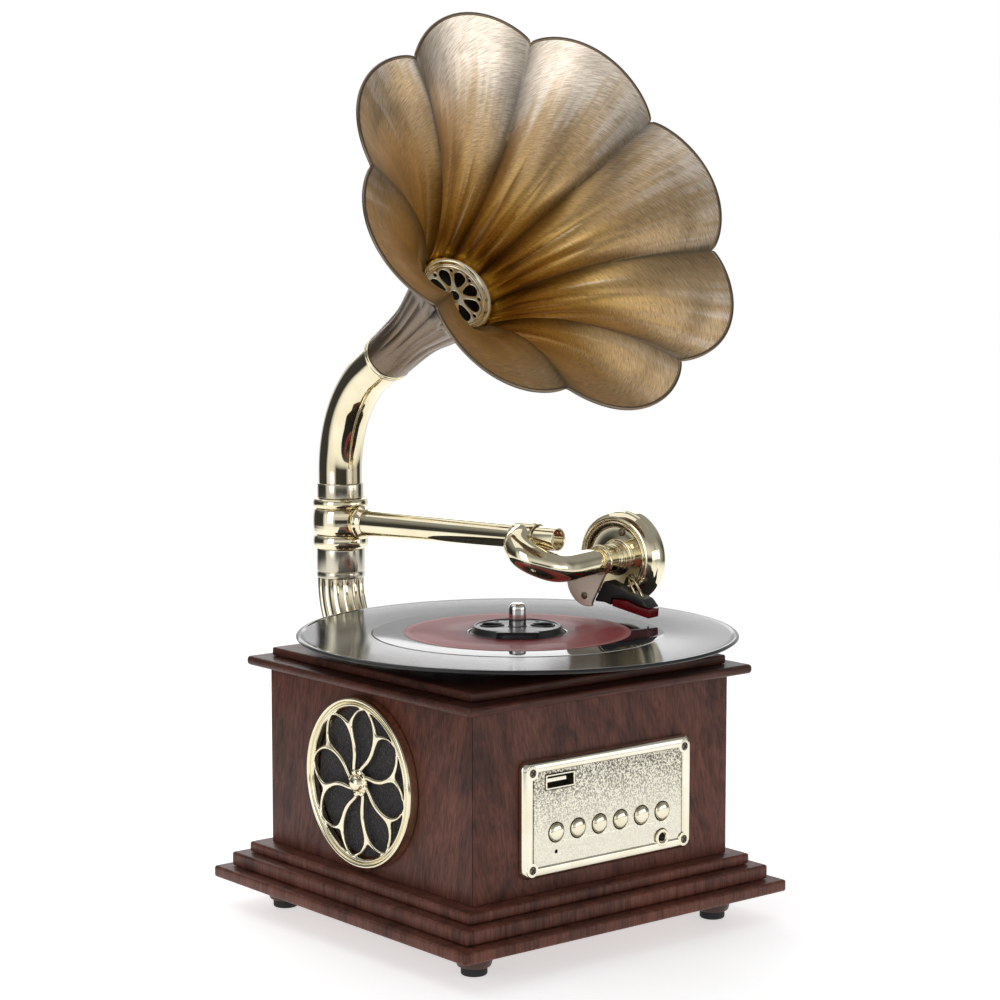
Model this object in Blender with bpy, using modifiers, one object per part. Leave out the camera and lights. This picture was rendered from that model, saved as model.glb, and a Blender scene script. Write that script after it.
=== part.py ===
"""Retro horn record player: a small electric turntable built in the shape of an old horn phonograph.

Millimetres are used for every size here and turned into metres by MM.
The front panel faces -Y, the post stands behind the case at +Y, and +Z is up.
Empties carry the joint axes: the platter, the motor, the post, the arm tube and the horn.
"""
import math

import bmesh
import bpy
from mathutils import Matrix, Vector

MM = 0.001
GAP = 0.3                     # clearance between pieces that touch

# --- case -------------------------------------------------------------------
FOOT_H = 11.2
FOOT_R = 7.0
FOOT_AT = 61.1                # foot centres, each way from the case centre
CASE_HALF = 64.7
WALL_T = 6.0
PLINTH = (                    # overhang past the case and thickness, bottom board first
    ("bottom_board", 17.3, 4.9),
    ("plinth_middle", 12.0, 5.9),
    ("plinth_top", 6.8, 4.5),
)
CASE_H = 72.6
TOP_OVERHANG = 7.2
TOP_T = 3.8
DECK_T = 3.7
PLINTH_Z = FOOT_H + sum(t for _, _, t in PLINTH)
CASE_TOP_Z = PLINTH_Z + CASE_H
TOP_Z = CASE_TOP_Z + TOP_T
DECK_Z = TOP_Z + DECK_T

# --- record and drive -------------------------------------------------------
RECORD_AT = (2.0, -10.2)
RECORD_R = 87.5
RECORD_T = 1.6
RECORD_HOLE_R = 19.3
RECORD_Z = DECK_Z + 8.8       # playing surface
MAT_T = 1.2
PLATTER_R = 56.0
PLATTER_T = 2.0
RIM_R = 34.0                  # belt track under the platter
PULLEY_R = 4.0
BELT_T = 0.8
BELT_W = 1.8
MOTOR_OFFSET = 46.0           # pulley distance from the platter axis
MOTOR_R = 15.0
ADAPTER_R = 19.0
ADAPTER_H = 2.6               # above the playing surface
SPINDLE_R = 3.45
SPINDLE_UP = 11.6             # above the playing surface
SHAFT_R = 2.2

# --- post behind the case ---------------------------------------------------
POST_Y = 105.8
POST_TUBE_R = 6.0
POST_BORE_R = POST_TUBE_R + GAP
BRACKET_R = 9.9
BRACKET_BEND = 36.9
BRACKET_TOP_Z = 124.6
SLEEVE_R = 10.2
BEAD_R = 11.7
LEVELS = (124.6, 137.2, 143.2, 154.5, 158.8, 165.2)   # sleeve, bead, barrel, bead, sleeve

# --- tone arm ---------------------------------------------------------------
ARM_Z = 148.7
ARM_HEADING = 11.2            # degrees from -Y towards +X
ARM_RISE = 0.8
ARM_START = 16.3
ARM_END = 118.5
ARM_R = (5.85, 4.6)
NECK_AT = 101.5               # where the goose neck leaves the tube
NECK_BORE_R = 5.2
NECK_COLLAR_R = 6.0
SOUNDBOX_AT = 118.7           # along the arm
SOUNDBOX_T = 36.0             # front of the rim, across the arm
SOUNDBOX_DROP = -11.25
SOUNDBOX_R = 19.55
HUB_R = 5.6
HUB_LENGTH = 9.7              # in front of the rim
PLATE_T = 1.5                 # ear plate
PLATE_BACK = 8.9              # its distance in front of the rim
CARTRIDGE_NOSE = (24.2, -22.0)   # lower front corner, from the soundbox axis
CARTRIDGE_BACK = 5.3          # middle of the cartridge, in front of the rim
CARTRIDGE_W = 7.4
CARTRIDGE_SIDE = (            # side outline, from its lower front corner
    (-27.4, 5.0), (-22.2, 13.8), (-13.0, 10.6), (-2.7, 7.6), (0.4, 4.1), (-5.0, 4.9), (-11.2, 6.9),
    (-18.5, 6.9), (-18.9, 3.9), (-22.2, 4.9),
)
HOLDER_SIDE = ((-18.5, 3.6), (-18.1, 6.5), (-11.3, 6.5), (-5.1, 4.5), (0.4, 3.7), (0.0, 0.0))
CARTRIDGE_CLEARANCE = ((-28.3, 4.2), (-22.4, 14.6), (3.0, 8.4), (3.0, -8.0), (-28.3, -8.0))

# --- horn -------------------------------------------------------------------
HORN_HEADING = -3.4
HORN_TILT = 60.9              # axis from the vertical
ELBOW_R = 9.25
ELBOW_BEND = 50.7
ELBOW_START_Z = 170.0
ELBOW_TAIL = 13.2
HORN_LENGTH = 124.7
HORN_WALL = 1.2
PETALS = 8
PETAL_BULGE = 9.6
PETAL_GROWTH = 0.75           # how soon the petals swell after the throat
PETAL_ROUNDING = 0.8
PETAL_REACH = 3.0             # how far the petals reach past the creases
PETAL_PHASE = 31.0
HORN_PROFILE = (              # distance along the axis, radius in a crease
    (1.6, 9.9), (24.0, 10.9), (37.0, 13.5), (54.4, 18.0), (62.0, 20.5), (72.0, 24.9), (84.0, 31.4),
    (96.0, 39.5), (108.0, 50.8), (117.0, 62.4), (HORN_LENGTH, 75.7),
)
THROAT_AT = 54.4
THROAT_R = 16.6

# --- front panel ------------------------------------------------------------
PANEL_T = 3.5
PANEL_SIZE = (85.6, 45.0)
PANEL_FIELD = (76.0, 38.2)    # recess inside the raised border
PANEL_Z = 55.5
PANEL_CORNER_R = 3.0
PANEL_EDGE_R = 2.2
BUTTON_PITCH = 10.8
BUTTON_Z = 49.6
BUTTON_X0 = -26.6
BUTTON_R = 4.0
BUTTON_HOLE_R = 4.35
BUTTON_STEM_R = 2.2
PIN_HOLE_Z = 42.2
USB_AT = (-24.8, 69.2)
USB_SIZE = (14.3, 5.6)
AUX_AT = (27.2, 39.1)
AUX_R = 3.35

# --- side grilles and speakers ----------------------------------------------
GRILLE_R = 33.5
GRILLE_H = 4.7                # height of the ring above the case
GRILLE_INNER_R = 29.6
GRILLE_AT = (1.0, 62.4)       # Y and Z
SPEAKER_HOLE_R = 17.4
CLOTH_R = 29.0
SPOKES = 8
SPOKE_BASE = -13.0            # degrees from the top
SPOKE_Z = 3.4

COLLECTIONS = {}


# --- scene helpers ----------------------------------------------------------
def start_clean():
    for obj in list(bpy.data.objects):
        bpy.data.objects.remove(obj)
    for name in ("horn_record_player", "cutters"):
        COLLECTIONS[name] = bpy.data.collections.new(name)
        bpy.context.scene.collection.children.link(COLLECTIONS[name])


def material(name, colour, roughness, metallic=0.0):
    mat = bpy.data.materials.new(name)
    mat.use_nodes = True
    shader = mat.node_tree.nodes["Principled BSDF"]
    shader.inputs["Base Color"].default_value = (*colour, 1.0)
    shader.inputs["Roughness"].default_value = roughness
    shader.inputs["Metallic"].default_value = metallic
    return mat


def empty(name, parent=None, location=(0, 0, 0), rotation=(0, 0, 0)):
    obj = bpy.data.objects.new(name, None)
    obj.location = [v * MM for v in location]
    obj.rotation_euler = [math.radians(v) for v in rotation]
    obj.parent = parent
    COLLECTIONS["horn_record_player"].objects.link(obj)
    return obj


def add_object(name, mesh, mat, parent, location=(0, 0, 0), rotation=(0, 0, 0)):
    obj = bpy.data.objects.new(name, mesh)
    if mat:
        mesh.materials.append(mat)
    obj.location = [v * MM for v in location]
    obj.rotation_euler = [math.radians(v) for v in rotation]
    obj.parent = parent
    COLLECTIONS["horn_record_player"].objects.link(obj)
    return obj


def smooth(mesh, angle=35.0):
    mesh.shade_smooth()
    mesh.set_sharp_from_angle(angle=math.radians(angle))


def block(name, size, centre, mat, parent, bevel=0.0, rotation=(0, 0, 0)):
    """A box with its origin at its centre and rounded edges."""
    bm = bmesh.new()
    bmesh.ops.create_cube(bm, size=1.0, matrix=Matrix.Diagonal([v * MM for v in size]).to_4x4())
    mesh = bpy.data.meshes.new(name)
    bm.to_mesh(mesh)
    bm.free()
    obj = add_object(name, mesh, mat, parent, centre, rotation)
    if bevel:
        mod = obj.modifiers.new("rounded", "BEVEL")
        mod.width = bevel * MM
        mod.segments = 2
    return obj


def turned(name, profile, mat, parent, location=(0, 0, 0), rotation=(0, 0, 0), steps=24, ring=False):
    """A body of revolution about local Z. The profile runs down its outer side; a ring closes on itself."""
    mesh = bpy.data.meshes.new(name)
    count = len(profile)
    edges = [(i, i + 1) for i in range(count - 1)]
    if ring:
        edges.append((count - 1, 0))
    mesh.from_pydata([(r * MM, 0, z * MM) for r, z in profile], edges, [])
    obj = add_object(name, mesh, mat, parent, location, rotation)
    mod = obj.modifiers.new("turned", "SCREW")
    mod.steps = steps
    mod.render_steps = steps
    mod.use_merge_vertices = True
    mod.merge_threshold = 0.00005
    mod.use_smooth_shade = True
    return obj


def disc(name, radius, low, high, mat, parent, location=(0, 0, 0), rotation=(0, 0, 0), steps=24):
    profile = [(0, high), (radius, high), (radius, low), (0, low)]
    return turned(name, profile, mat, parent, location, rotation, steps)


def washer(name, inner, outer, low, high, mat, parent, location=(0, 0, 0), rotation=(0, 0, 0), steps=24):
    profile = [(inner, high), (outer, high), (outer, low), (inner, low)]
    return turned(name, profile, mat, parent, location, rotation, steps, ring=True)


def swept(name, path, radii, mat, parent, sides=2, caps=True):
    """A round bar or open tube along a path, made into a mesh."""
    curve = bpy.data.curves.new(name, "CURVE")
    curve.dimensions = "3D"
    curve.bevel_depth = MM
    curve.bevel_resolution = sides
    curve.use_fill_caps = caps
    spline = curve.splines.new("POLY")
    spline.points.add(len(path) - 1)
    for point, place, radius in zip(spline.points, path, radii):
        point.co = (*[v * MM for v in place], 1.0)
        point.radius = radius
    guide = bpy.data.objects.new(name + "_path", curve)
    COLLECTIONS["cutters"].objects.link(guide)
    mesh = bpy.data.meshes.new_from_object(guide.evaluated_get(bpy.context.evaluated_depsgraph_get()))
    mesh.name = name
    bpy.data.objects.remove(guide)
    bm = bmesh.new()
    bm.from_mesh(mesh)
    bmesh.ops.remove_doubles(bm, verts=bm.verts, dist=0.00001)
    bm.to_mesh(mesh)
    bm.free()
    mesh.materials.clear()
    smooth(mesh)
    return add_object(name, mesh, mat, parent)


def hollow(obj, wall, offset=-1.0):
    mod = obj.modifiers.new("wall", "SOLIDIFY")
    mod.thickness = wall * MM
    mod.offset = offset
    return obj


def combine(obj, other, operation="DIFFERENCE"):
    """Cut, or join, obj with a second solid that stays hidden among the cutters."""
    mod = obj.modifiers.new(other.name, "BOOLEAN")
    mod.operation = operation
    mod.object = other
    for collection in list(other.users_collection):
        collection.objects.unlink(other)
    COLLECTIONS["cutters"].objects.link(other)
    other.hide_render = True
    other.display_type = "WIRE"
    return obj


def drill(obj, radius, location, rotation=(0, 0, 0), depth=40.0, steps=16):
    """Drill a round hole through obj, centred on location, along the rotated Z axis."""
    name = f"{obj.name}_hole_{len(obj.modifiers)}"
    cutter = disc(name, radius, -depth / 2, depth / 2, None, obj.parent, location, rotation, steps)
    return combine(obj, cutter)


def smooth_path(points, samples):
    """Points along a Catmull-Rom curve through the given ones."""
    ends = [points[0]] + list(points) + [points[-1]]
    out = []
    for p0, p1, p2, p3 in zip(ends, ends[1:], ends[2:], ends[3:]):
        for step in range(samples):
            t = step / samples
            out.append(tuple(
                0.5 * (2 * b + (c - a) * t + (2 * a - 5 * b + 4 * c - d) * t * t
                       + (3 * b - a - 3 * c + d) * t ** 3)
                for a, b, c, d in zip(p0, p1, p2, p3)))
    out.append(tuple(points[-1]))
    return out


# --- materials --------------------------------------------------------------
def make_materials():
    return {
        "wood": material("walnut", (0.066, 0.028, 0.021), 0.42),
        "gold": material("pale_gold", (0.86, 0.74, 0.46), 0.14, 1.0),
        "satin": material("satin_gold", (0.72, 0.64, 0.48), 0.32, 1.0),
        "bronze": material("brushed_bronze", (0.42, 0.28, 0.12), 0.34, 1.0),
        "panel": material("hammered_gold", (0.83, 0.76, 0.55), 0.25, 1.0),
        "steel": material("steel", (0.6, 0.6, 0.62), 0.3, 1.0),
        "chrome": material("chrome", (0.8, 0.8, 0.82), 0.08, 1.0),
        "vinyl": material("vinyl", (0.018, 0.018, 0.02), 0.2),
        "black": material("black_plastic", (0.012, 0.012, 0.013), 0.35),
        "red": material("red_plastic", (0.32, 0.008, 0.012), 0.3),
        "rubber": material("rubber", (0.014, 0.013, 0.013), 0.7),
        "cloth": material("speaker_cloth", (0.03, 0.022, 0.024), 0.95),
        "board": material("circuit_board", (0.02, 0.12, 0.05), 0.5),
    }


# --- case -------------------------------------------------------------------
def make_case(root, mats):
    z = FOOT_H
    for name, overhang, thickness in PLINTH:
        side = 2 * (CASE_HALF + overhang)
        low = z + GAP
        z += thickness
        block(name, (side, side, z - low), (0, 0, (z + low) / 2), mats["wood"], root, bevel=0.8)

    inner = CASE_HALF - WALL_T
    height = CASE_H - GAP
    middle = PLINTH_Z + GAP + height / 2
    for name, sign in (("front_wall", -1), ("back_wall", 1)):
        block(name, (2 * CASE_HALF, WALL_T, height), (0, sign * (CASE_HALF - WALL_T / 2), middle),
              mats["wood"], root)
    for name, sign in (("left_wall", -1), ("right_wall", 1)):
        wall = block(name, (WALL_T, 2 * (inner - GAP), height),
                     (sign * (CASE_HALF - WALL_T / 2), 0, middle), mats["wood"], root)
        drill(wall, SPEAKER_HOLE_R, (sign * CASE_HALF, *GRILLE_AT), (0, 90, 0), 3 * WALL_T, 24)

    low = CASE_TOP_Z + GAP
    side = 2 * (CASE_HALF + TOP_OVERHANG)
    top = block("top_board", (side, side, TOP_Z - low), (0, 0, (TOP_Z + low) / 2), mats["wood"], root, 1.4)
    drill(top, MOTOR_R + GAP, (*motor_at(), TOP_Z))
    drill(top, 6.0, (*RECORD_AT, TOP_Z))

    low = TOP_Z + GAP
    side = 2 * (CASE_HALF - GAP)
    deck = block("deck_board", (side, side, DECK_Z - low), (0, 0, (DECK_Z + low) / 2), mats["wood"],
                 root, 0.6)
    drill(deck, 3.0, (*motor_at(), DECK_Z))
    drill(deck, 5.3, (*RECORD_AT, DECK_Z))

    for name, sx, sy in (("foot_front_left", -1, -1), ("foot_front_right", 1, -1),
                         ("foot_back_left", -1, 1), ("foot_back_right", 1, 1)):
        profile = [(0, FOOT_H), (FOOT_R, FOOT_H), (FOOT_R, 6.2), (5.3, 5.6), (5.3, 0.6), (4.7, 0), (0, 0)]
        turned(name, profile, mats["rubber"], root, (sx * FOOT_AT, sy * FOOT_AT, 0), steps=24)


def make_rear(root, mats):
    """The back wall's openings, the bracket plate and the power inlet."""
    back = bpy.data.objects["back_wall"]
    drill(back, 7.3, (0, CASE_HALF, BRACKET_TOP_Z - BRACKET_BEND), (90, 0, 0))
    drill(back, 5.8, (42, CASE_HALF, 42), (90, 0, 0))
    plate = block("bracket_plate", (30, 3, 44), (0, CASE_HALF + GAP + 1.5, 76.2), mats["gold"], root, 0.8)
    drill(plate, 7.3, (0, CASE_HALF, BRACKET_TOP_Z - BRACKET_BEND), (90, 0, 0))
    profile = [(1.0, 1.0), (1.0, -6.0), (2.9, -6.0), (2.9, 1.4), (7.0, 1.4), (7.0, 0.3), (5.5, 0.3),
               (5.5, -9.0), (0, -9.0)]
    turned("power_inlet", [(0, 1.0)] + profile, mats["black"], root, (42, CASE_HALF, 42), (-90, 0, 0), 24)


# --- front panel ------------------------------------------------------------
def rounded_plate(name, size, centre, mat, parent):
    """A plate facing -Y, with rounded corners and a rounded front edge."""
    bm = bmesh.new()
    bmesh.ops.create_cube(bm, size=1.0, matrix=Matrix.Diagonal([v * MM for v in size]).to_4x4())
    corners = [e for e in bm.edges if abs(e.verts[0].co.y - e.verts[1].co.y) > MM]
    bmesh.ops.bevel(bm, geom=corners, offset=PANEL_CORNER_R * MM, segments=3, profile=0.5, affect="EDGES")
    front = [e for e in bm.edges if all(v.co.y < 0 for v in e.verts)]
    bmesh.ops.bevel(bm, geom=front, offset=PANEL_EDGE_R * MM, segments=3, profile=0.5, affect="EDGES")
    mesh = bpy.data.meshes.new(name)
    bm.to_mesh(mesh)
    bm.free()
    return add_object(name, mesh, mat, parent, centre)


def make_panel(root, mats):
    face = -(CASE_HALF + PANEL_T)
    panel = rounded_plate("control_panel", (PANEL_SIZE[0], PANEL_T - GAP, PANEL_SIZE[1]),
                          (0, face + (PANEL_T - GAP) / 2, PANEL_Z), mats["panel"], root)
    recess = block("panel_recess", (PANEL_FIELD[0], 1.2, PANEL_FIELD[1]), (0, face, PANEL_Z), None, root)
    combine(panel, recess)
    front = bpy.data.objects["front_wall"]

    for index in range(6):
        place = (BUTTON_X0 + index * BUTTON_PITCH, face, BUTTON_Z)
        drill(panel, BUTTON_HOLE_R, place, (90, 0, 0))
        drill(front, 2.6, place, (90, 0, 0), steps=10)
        profile = [(0, 1.6), (2.2, 1.3), (3.6, 0.6), (BUTTON_R, -0.3), (BUTTON_R, -2.0),
                   (BUTTON_STEM_R, -2.0), (BUTTON_STEM_R, -8.4), (0, -8.4)]
        turned(f"button_{index + 1}", profile, mats["panel"], root, place, (90, 0, 0), 16)

    width, height = USB_SIZE
    for target in (panel, front):
        slot = block(f"{target.name}_usb_slot", (width + 2 * GAP, 30, height + 2 * GAP),
                     (USB_AT[0], face, USB_AT[1]), None, root)
        combine(target, slot)
    usb_x, usb_z = USB_AT
    socket = block("usb_socket", (width, 9.0, height), (usb_x, face + 4.6, usb_z), mats["steel"], root)
    mouth = block("usb_mouth", (width - 1.2, 8.0, height - 1.2), (usb_x, face + 3.2, usb_z), None, root)
    combine(socket, mouth)
    tongue = block("usb_tongue", (width - 3.4, 8.0, 1.6), (usb_x, face + 4.7, usb_z + 0.9), None, root)
    combine(socket, tongue, "UNION")

    place = (AUX_AT[0], face, AUX_AT[1])
    drill(panel, AUX_R + GAP, place, (90, 0, 0))
    drill(front, AUX_R + GAP, place, (90, 0, 0))
    profile = [(0, -8.0), (1.75, -8.0), (1.75, 1.0), (AUX_R, 0.6), (AUX_R, -8.6), (0, -8.6)]
    turned("aux_jack", profile, mats["gold"], root, place, (90, 0, 0), 24)
    drill(panel, 0.7, (BUTTON_X0, face, PIN_HOLE_Z), (90, 0, 0), steps=12)

    board_y = -(CASE_HALF - WALL_T) + 1.9
    block("circuit_board", (78, 1.6, 38), (0, board_y, PANEL_Z), mats["board"], root)


# --- speakers ---------------------------------------------------------------
def polar(radius, degrees):
    """A point on the grille, with its angle from the top, clockwise as seen from outside."""
    angle = math.radians(degrees)
    return radius * math.sin(angle), radius * math.cos(angle)


def make_grille(name, mats, parent):
    """An outer ring, eight curved spokes that fork near the ring, and a domed boss."""
    ring = [(GRILLE_INNER_R, GRILLE_H - 0.7), (31.2, GRILLE_H - 0.6), (32.0, GRILLE_H),
            (GRILLE_R, GRILLE_H - 0.4), (GRILLE_R, GAP), (GRILLE_INNER_R, GAP)]
    grille = turned(name, ring, mats["gold"], parent, steps=32, ring=True)
    boss = [(0, 6.4), (3.6, 5.2), (6.2, 3.8), (6.2, 2.4), (0, 2.4)]
    combine(grille, turned(name + "_boss", boss, None, parent, steps=12), "UNION")
    for index in range(SPOKES):
        base = SPOKE_BASE + index * 360.0 / SPOKES
        stem = [polar(4.6, base - 10), polar(10.0, base + 1), polar(16.0, base + 1), polar(22.4, base - 4),
                polar(26.6, base - 13), polar(30.6, base - 20)]
        fork = [polar(21.4, base - 5), polar(26.0, base + 8), polar(30.4, base + 19)]
        for part, path, radius, drop in (("stem", stem, 1.1, 0.0), ("fork", fork, 0.95, 0.05)):
            path = [(x, y, SPOKE_Z - drop) for x, y in path]
            bar = swept(f"{name}_{part}_{index}", path, [radius] * len(path), None, parent, sides=0)
            combine(grille, bar, "UNION")
    return grille


def make_speakers(root, mats):
    for side, sign in (("left", -1), ("right", 1)):
        frame = empty(f"{side}_speaker_frame", root, (sign * CASE_HALF, *GRILLE_AT), (90, 0, sign * 90))
        make_grille(f"{side}_grille", mats, frame)
        disc(f"{side}_speaker_cloth", CLOTH_R, GAP, GAP + 0.5, mats["cloth"], frame, steps=32)
        driver = [(0, -7.0), (5.0, -8.5), (13.0, -6.6), (20.0, -6.4), (20.0, -8.4), (14.0, -10.0),
                  (12.0, -16.0), (12.0, -25.0), (0, -25.0)]
        turned(f"{side}_speaker", driver, mats["black"], frame, steps=20)


# --- platter, record and motor ----------------------------------------------
def motor_at():
    reach = MOTOR_OFFSET / math.sqrt(2)
    return RECORD_AT[0] - reach, RECORD_AT[1] + reach


def make_platter(root, mats):
    axis = empty("platter_axis", root, (*RECORD_AT, 0))
    record_low = RECORD_Z - RECORD_T
    mat_low = record_low - GAP - MAT_T
    top = mat_low - GAP
    low = top - PLATTER_T
    track = DECK_Z + 0.7
    profile = [(0, top), (PLATTER_R - 0.8, top), (PLATTER_R, top - 0.8), (PLATTER_R, low), (RIM_R, low),
               (RIM_R, track), (RIM_R - 3, track), (RIM_R - 3, low), (7.0, low), (SHAFT_R, low - 0.6),
               (SHAFT_R, DECK_Z - 14), (0, DECK_Z - 14)]
    turned("platter", profile, mats["black"], axis, steps=32)
    disc("slip_mat", PLATTER_R - 1, mat_low, mat_low + MAT_T, mats["rubber"], axis, steps=40)
    profile = [(RECORD_HOLE_R, RECORD_Z), (RECORD_R - 1.6, RECORD_Z), (RECORD_R, RECORD_Z - 0.7),
               (RECORD_R, RECORD_Z - 0.9), (RECORD_R - 1.6, record_low), (RECORD_HOLE_R, record_low)]
    turned("record", profile, mats["vinyl"], axis, steps=48, ring=True)
    high = RECORD_Z + ADAPTER_H
    profile = [(SPINDLE_R + GAP, high), (ADAPTER_R - 0.7, high), (ADAPTER_R, high - 0.7),
               (ADAPTER_R, record_low), (SPINDLE_R + GAP, record_low)]
    turned("record_adapter", profile, mats["black"], axis, steps=32, ring=True)
    tip = RECORD_Z + SPINDLE_UP
    profile = [(0, tip), (1.6, tip - 0.2), (2.8, tip - 0.8), (SPINDLE_R, tip - 2.0),
               (SPINDLE_R, record_low), (0, record_low)]
    turned("spindle", profile, mats["chrome"], axis, steps=16)
    profile = [(SHAFT_R + GAP, DECK_Z + 1.5), (9, DECK_Z + 1.5), (9, DECK_Z + GAP), (5, DECK_Z + GAP),
               (5, DECK_Z - 12), (SHAFT_R + GAP, DECK_Z - 12)]
    turned("platter_bearing", profile, mats["steel"], root, (*RECORD_AT, 0), steps=24, ring=True)


def make_motor(root, mats):
    place = motor_at()
    high = DECK_Z - DECK_T - 0.5
    profile = [(1.4, high), (MOTOR_R - 1, high), (MOTOR_R, high - 1), (MOTOR_R, high - 21),
               (1.4, high - 21)]
    turned("motor", profile, mats["steel"], root, (*place, 0), steps=24, ring=True)
    low = DECK_Z + 0.7
    profile = [(0, low + 2.4), (PULLEY_R, low + 2.4), (PULLEY_R, low), (1.1, low), (1.1, high - 18),
               (0, high - 18)]
    turned("motor_pulley", profile, mats["gold"], root, (*place, 0), steps=20)


def belt_outline(offset, steps=9):
    """The outline of a belt wrapped round the platter track and the pulley, offset from both."""
    big = RIM_R + offset
    small = PULLEY_R + offset
    lean = math.acos((big - small) / MOTOR_OFFSET)
    points = []
    for k in range(2 * steps + 1):
        angle = lean + k * (math.tau - 2 * lean) / (2 * steps)
        points.append((big * math.cos(angle), big * math.sin(angle)))
    for k in range(steps + 1):
        angle = -lean + k * 2 * lean / steps
        points.append((MOTOR_OFFSET + small * math.cos(angle), small * math.sin(angle)))
    return points


def flat_plate(name, outline, thickness, mat, parent, location, rotation):
    """A flat outline in local XY, extruded by half its thickness each way."""
    curve = bpy.data.curves.new(name, "CURVE")
    curve.dimensions = "2D"
    curve.fill_mode = "BOTH"
    curve.extrude = thickness / 2 * MM
    spline = curve.splines.new("POLY")
    spline.points.add(len(outline) - 1)
    for point, (x, y) in zip(spline.points, outline):
        point.co = (x * MM, y * MM, 0, 1)
    spline.use_cyclic_u = True
    guide = bpy.data.objects.new(name + "_outline", curve)
    COLLECTIONS["cutters"].objects.link(guide)
    mesh = bpy.data.meshes.new_from_object(guide.evaluated_get(bpy.context.evaluated_depsgraph_get()))
    bpy.data.objects.remove(guide)
    bm = bmesh.new()
    bm.from_mesh(mesh)
    bmesh.ops.remove_doubles(bm, verts=bm.verts, dist=0.00001)
    bm.to_mesh(mesh)
    bm.free()
    mesh.name = name
    mesh.materials.clear()
    return add_object(name, mesh, mat, parent, location, rotation)


def make_belt(root, mats):
    place = (*RECORD_AT, DECK_Z + 2.1)
    turn = (0, 0, 135)
    belt = flat_plate("drive_belt", belt_outline(GAP + BELT_T), BELT_W, mats["rubber"], root, place, turn)
    inner = flat_plate("belt_inside", belt_outline(GAP), 4 * BELT_W, None, root, place, turn)
    combine(belt, inner)


# --- post -------------------------------------------------------------------
def bead_profile(inner, outer, low, high, waist):
    """A ring with a rounded outside, from top to bottom and back up its bore."""
    profile = [(inner, high)]
    for k in range(6):
        angle = math.pi * k / 5
        profile.append((waist + (outer - waist) * math.sin(angle), (high + low) / 2
                        + (high - low) / 2 * math.cos(angle)))
    profile.append((inner, low))
    return profile


def make_post(root, mats):
    post = empty("post_frame", root, (0, POST_Y, 0))
    bend = [(0, 0, BRACKET_TOP_Z - GAP)]
    for k in range(8):
        angle = math.radians(90.0 * k / 7)
        bend.append((0, -BRACKET_BEND * (1 - math.cos(angle)),
                     BRACKET_TOP_Z - 1 - BRACKET_BEND * math.sin(angle)))
    bend.append((0, CASE_HALF + 3 + 2 * GAP - POST_Y, bend[-1][2]))
    tube = swept("post_bracket", bend, [BRACKET_R] * len(bend), mats["gold"], post, sides=4, caps=False)
    hollow(tube, 1.8)
    sleeve, bead, barrel, bead_2, sleeve_2, top = LEVELS
    washer("lower_sleeve", POST_BORE_R, SLEEVE_R, sleeve, bead - GAP, mats["satin"], post)
    turned("lower_bead", bead_profile(POST_BORE_R, BEAD_R, bead, barrel - GAP, 10.2), mats["gold"], post,
           ring=True)
    washer("post_tube", POST_TUBE_R - 1.8, POST_TUBE_R, sleeve + 1, top + 4.2, mats["steel"], post)

    swivel = empty("horn_pivot", root, (0, POST_Y, 0), (0, 0, HORN_HEADING - 90))
    turned("upper_bead", bead_profile(POST_BORE_R, BEAD_R, bead_2, sleeve_2 - GAP, 10.2),
           mats["gold"], swivel, ring=True)
    washer("upper_sleeve", POST_BORE_R, SLEEVE_R - 0.4, sleeve_2, top - GAP, mats["satin"], swivel)
    return swivel


# --- tone arm ---------------------------------------------------------------
def make_arm(root, mats):
    pivot = empty("arm_pivot", root, (0, POST_Y, ARM_Z), (0, 0, ARM_HEADING - 90))
    line = empty("arm_line", pivot, rotation=(0, -ARM_RISE, 0))
    low = LEVELS[2] - ARM_Z
    high = LEVELS[3] - GAP - ARM_Z
    barrel = turned("pivot_barrel", bead_profile(POST_BORE_R, BEAD_R + 0.2, low, high, 10.4), mats["gold"],
                    pivot, ring=True)
    flare = [(0, ARM_START - GAP), (ARM_R[0] + 0.1, ARM_START - GAP), (6.2, 14.0), (6.6, 12.2),
             (5.2, 11.7), (4.6, 8.0), (0, 8.0)]
    combine(barrel, turned("arm_flare", flare, None, line, rotation=(0, 90, 0), steps=24), "UNION")

    path = [(ARM_START, 0, 0), ((ARM_START + ARM_END) / 2, 0, 0), (ARM_END, 0, 0)]
    radii = (ARM_R[0], sum(ARM_R) / 2, ARM_R[1])
    tube = swept("tonearm_tube", path, radii, mats["gold"], line, 6, caps=False)
    hollow(tube, 0.9)
    return line


def make_goose_neck(line, mats):
    """The bent tube that hangs off the arm, with a collar that turns on the arm tube."""
    loop = smooth_path([
        (NECK_AT, -4.0, -0.6), (NECK_AT + 2.2, -7.4, -2.4), (NECK_AT + 7.0, -9.6, -5.0),
        (NECK_AT + 12.6, -8.0, -7.9), (SOUNDBOX_AT - 0.8, -3.0, -10.2), (SOUNDBOX_AT, 4.5, -11.4),
        (SOUNDBOX_AT, 15.0, -11.5), (SOUNDBOX_AT, SOUNDBOX_T - HUB_LENGTH - GAP, SOUNDBOX_DROP)], 2)
    count = len(loop) - 1
    radii = [6.0 - 1.1 * k / count for k in range(count + 1)]
    collar = washer("goose_neck", NECK_BORE_R, NECK_COLLAR_R, -6.6, 6.6, mats["gold"], line,
                    (NECK_AT, 0, 0), (0, 90, 0), 20)
    combine(collar, swept("goose_neck_loop", loop, radii, None, line, 3), "UNION")
    drill(collar, NECK_BORE_R, (NECK_AT, 0, 0), (0, 90, 0), 26.0, 20)


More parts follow.
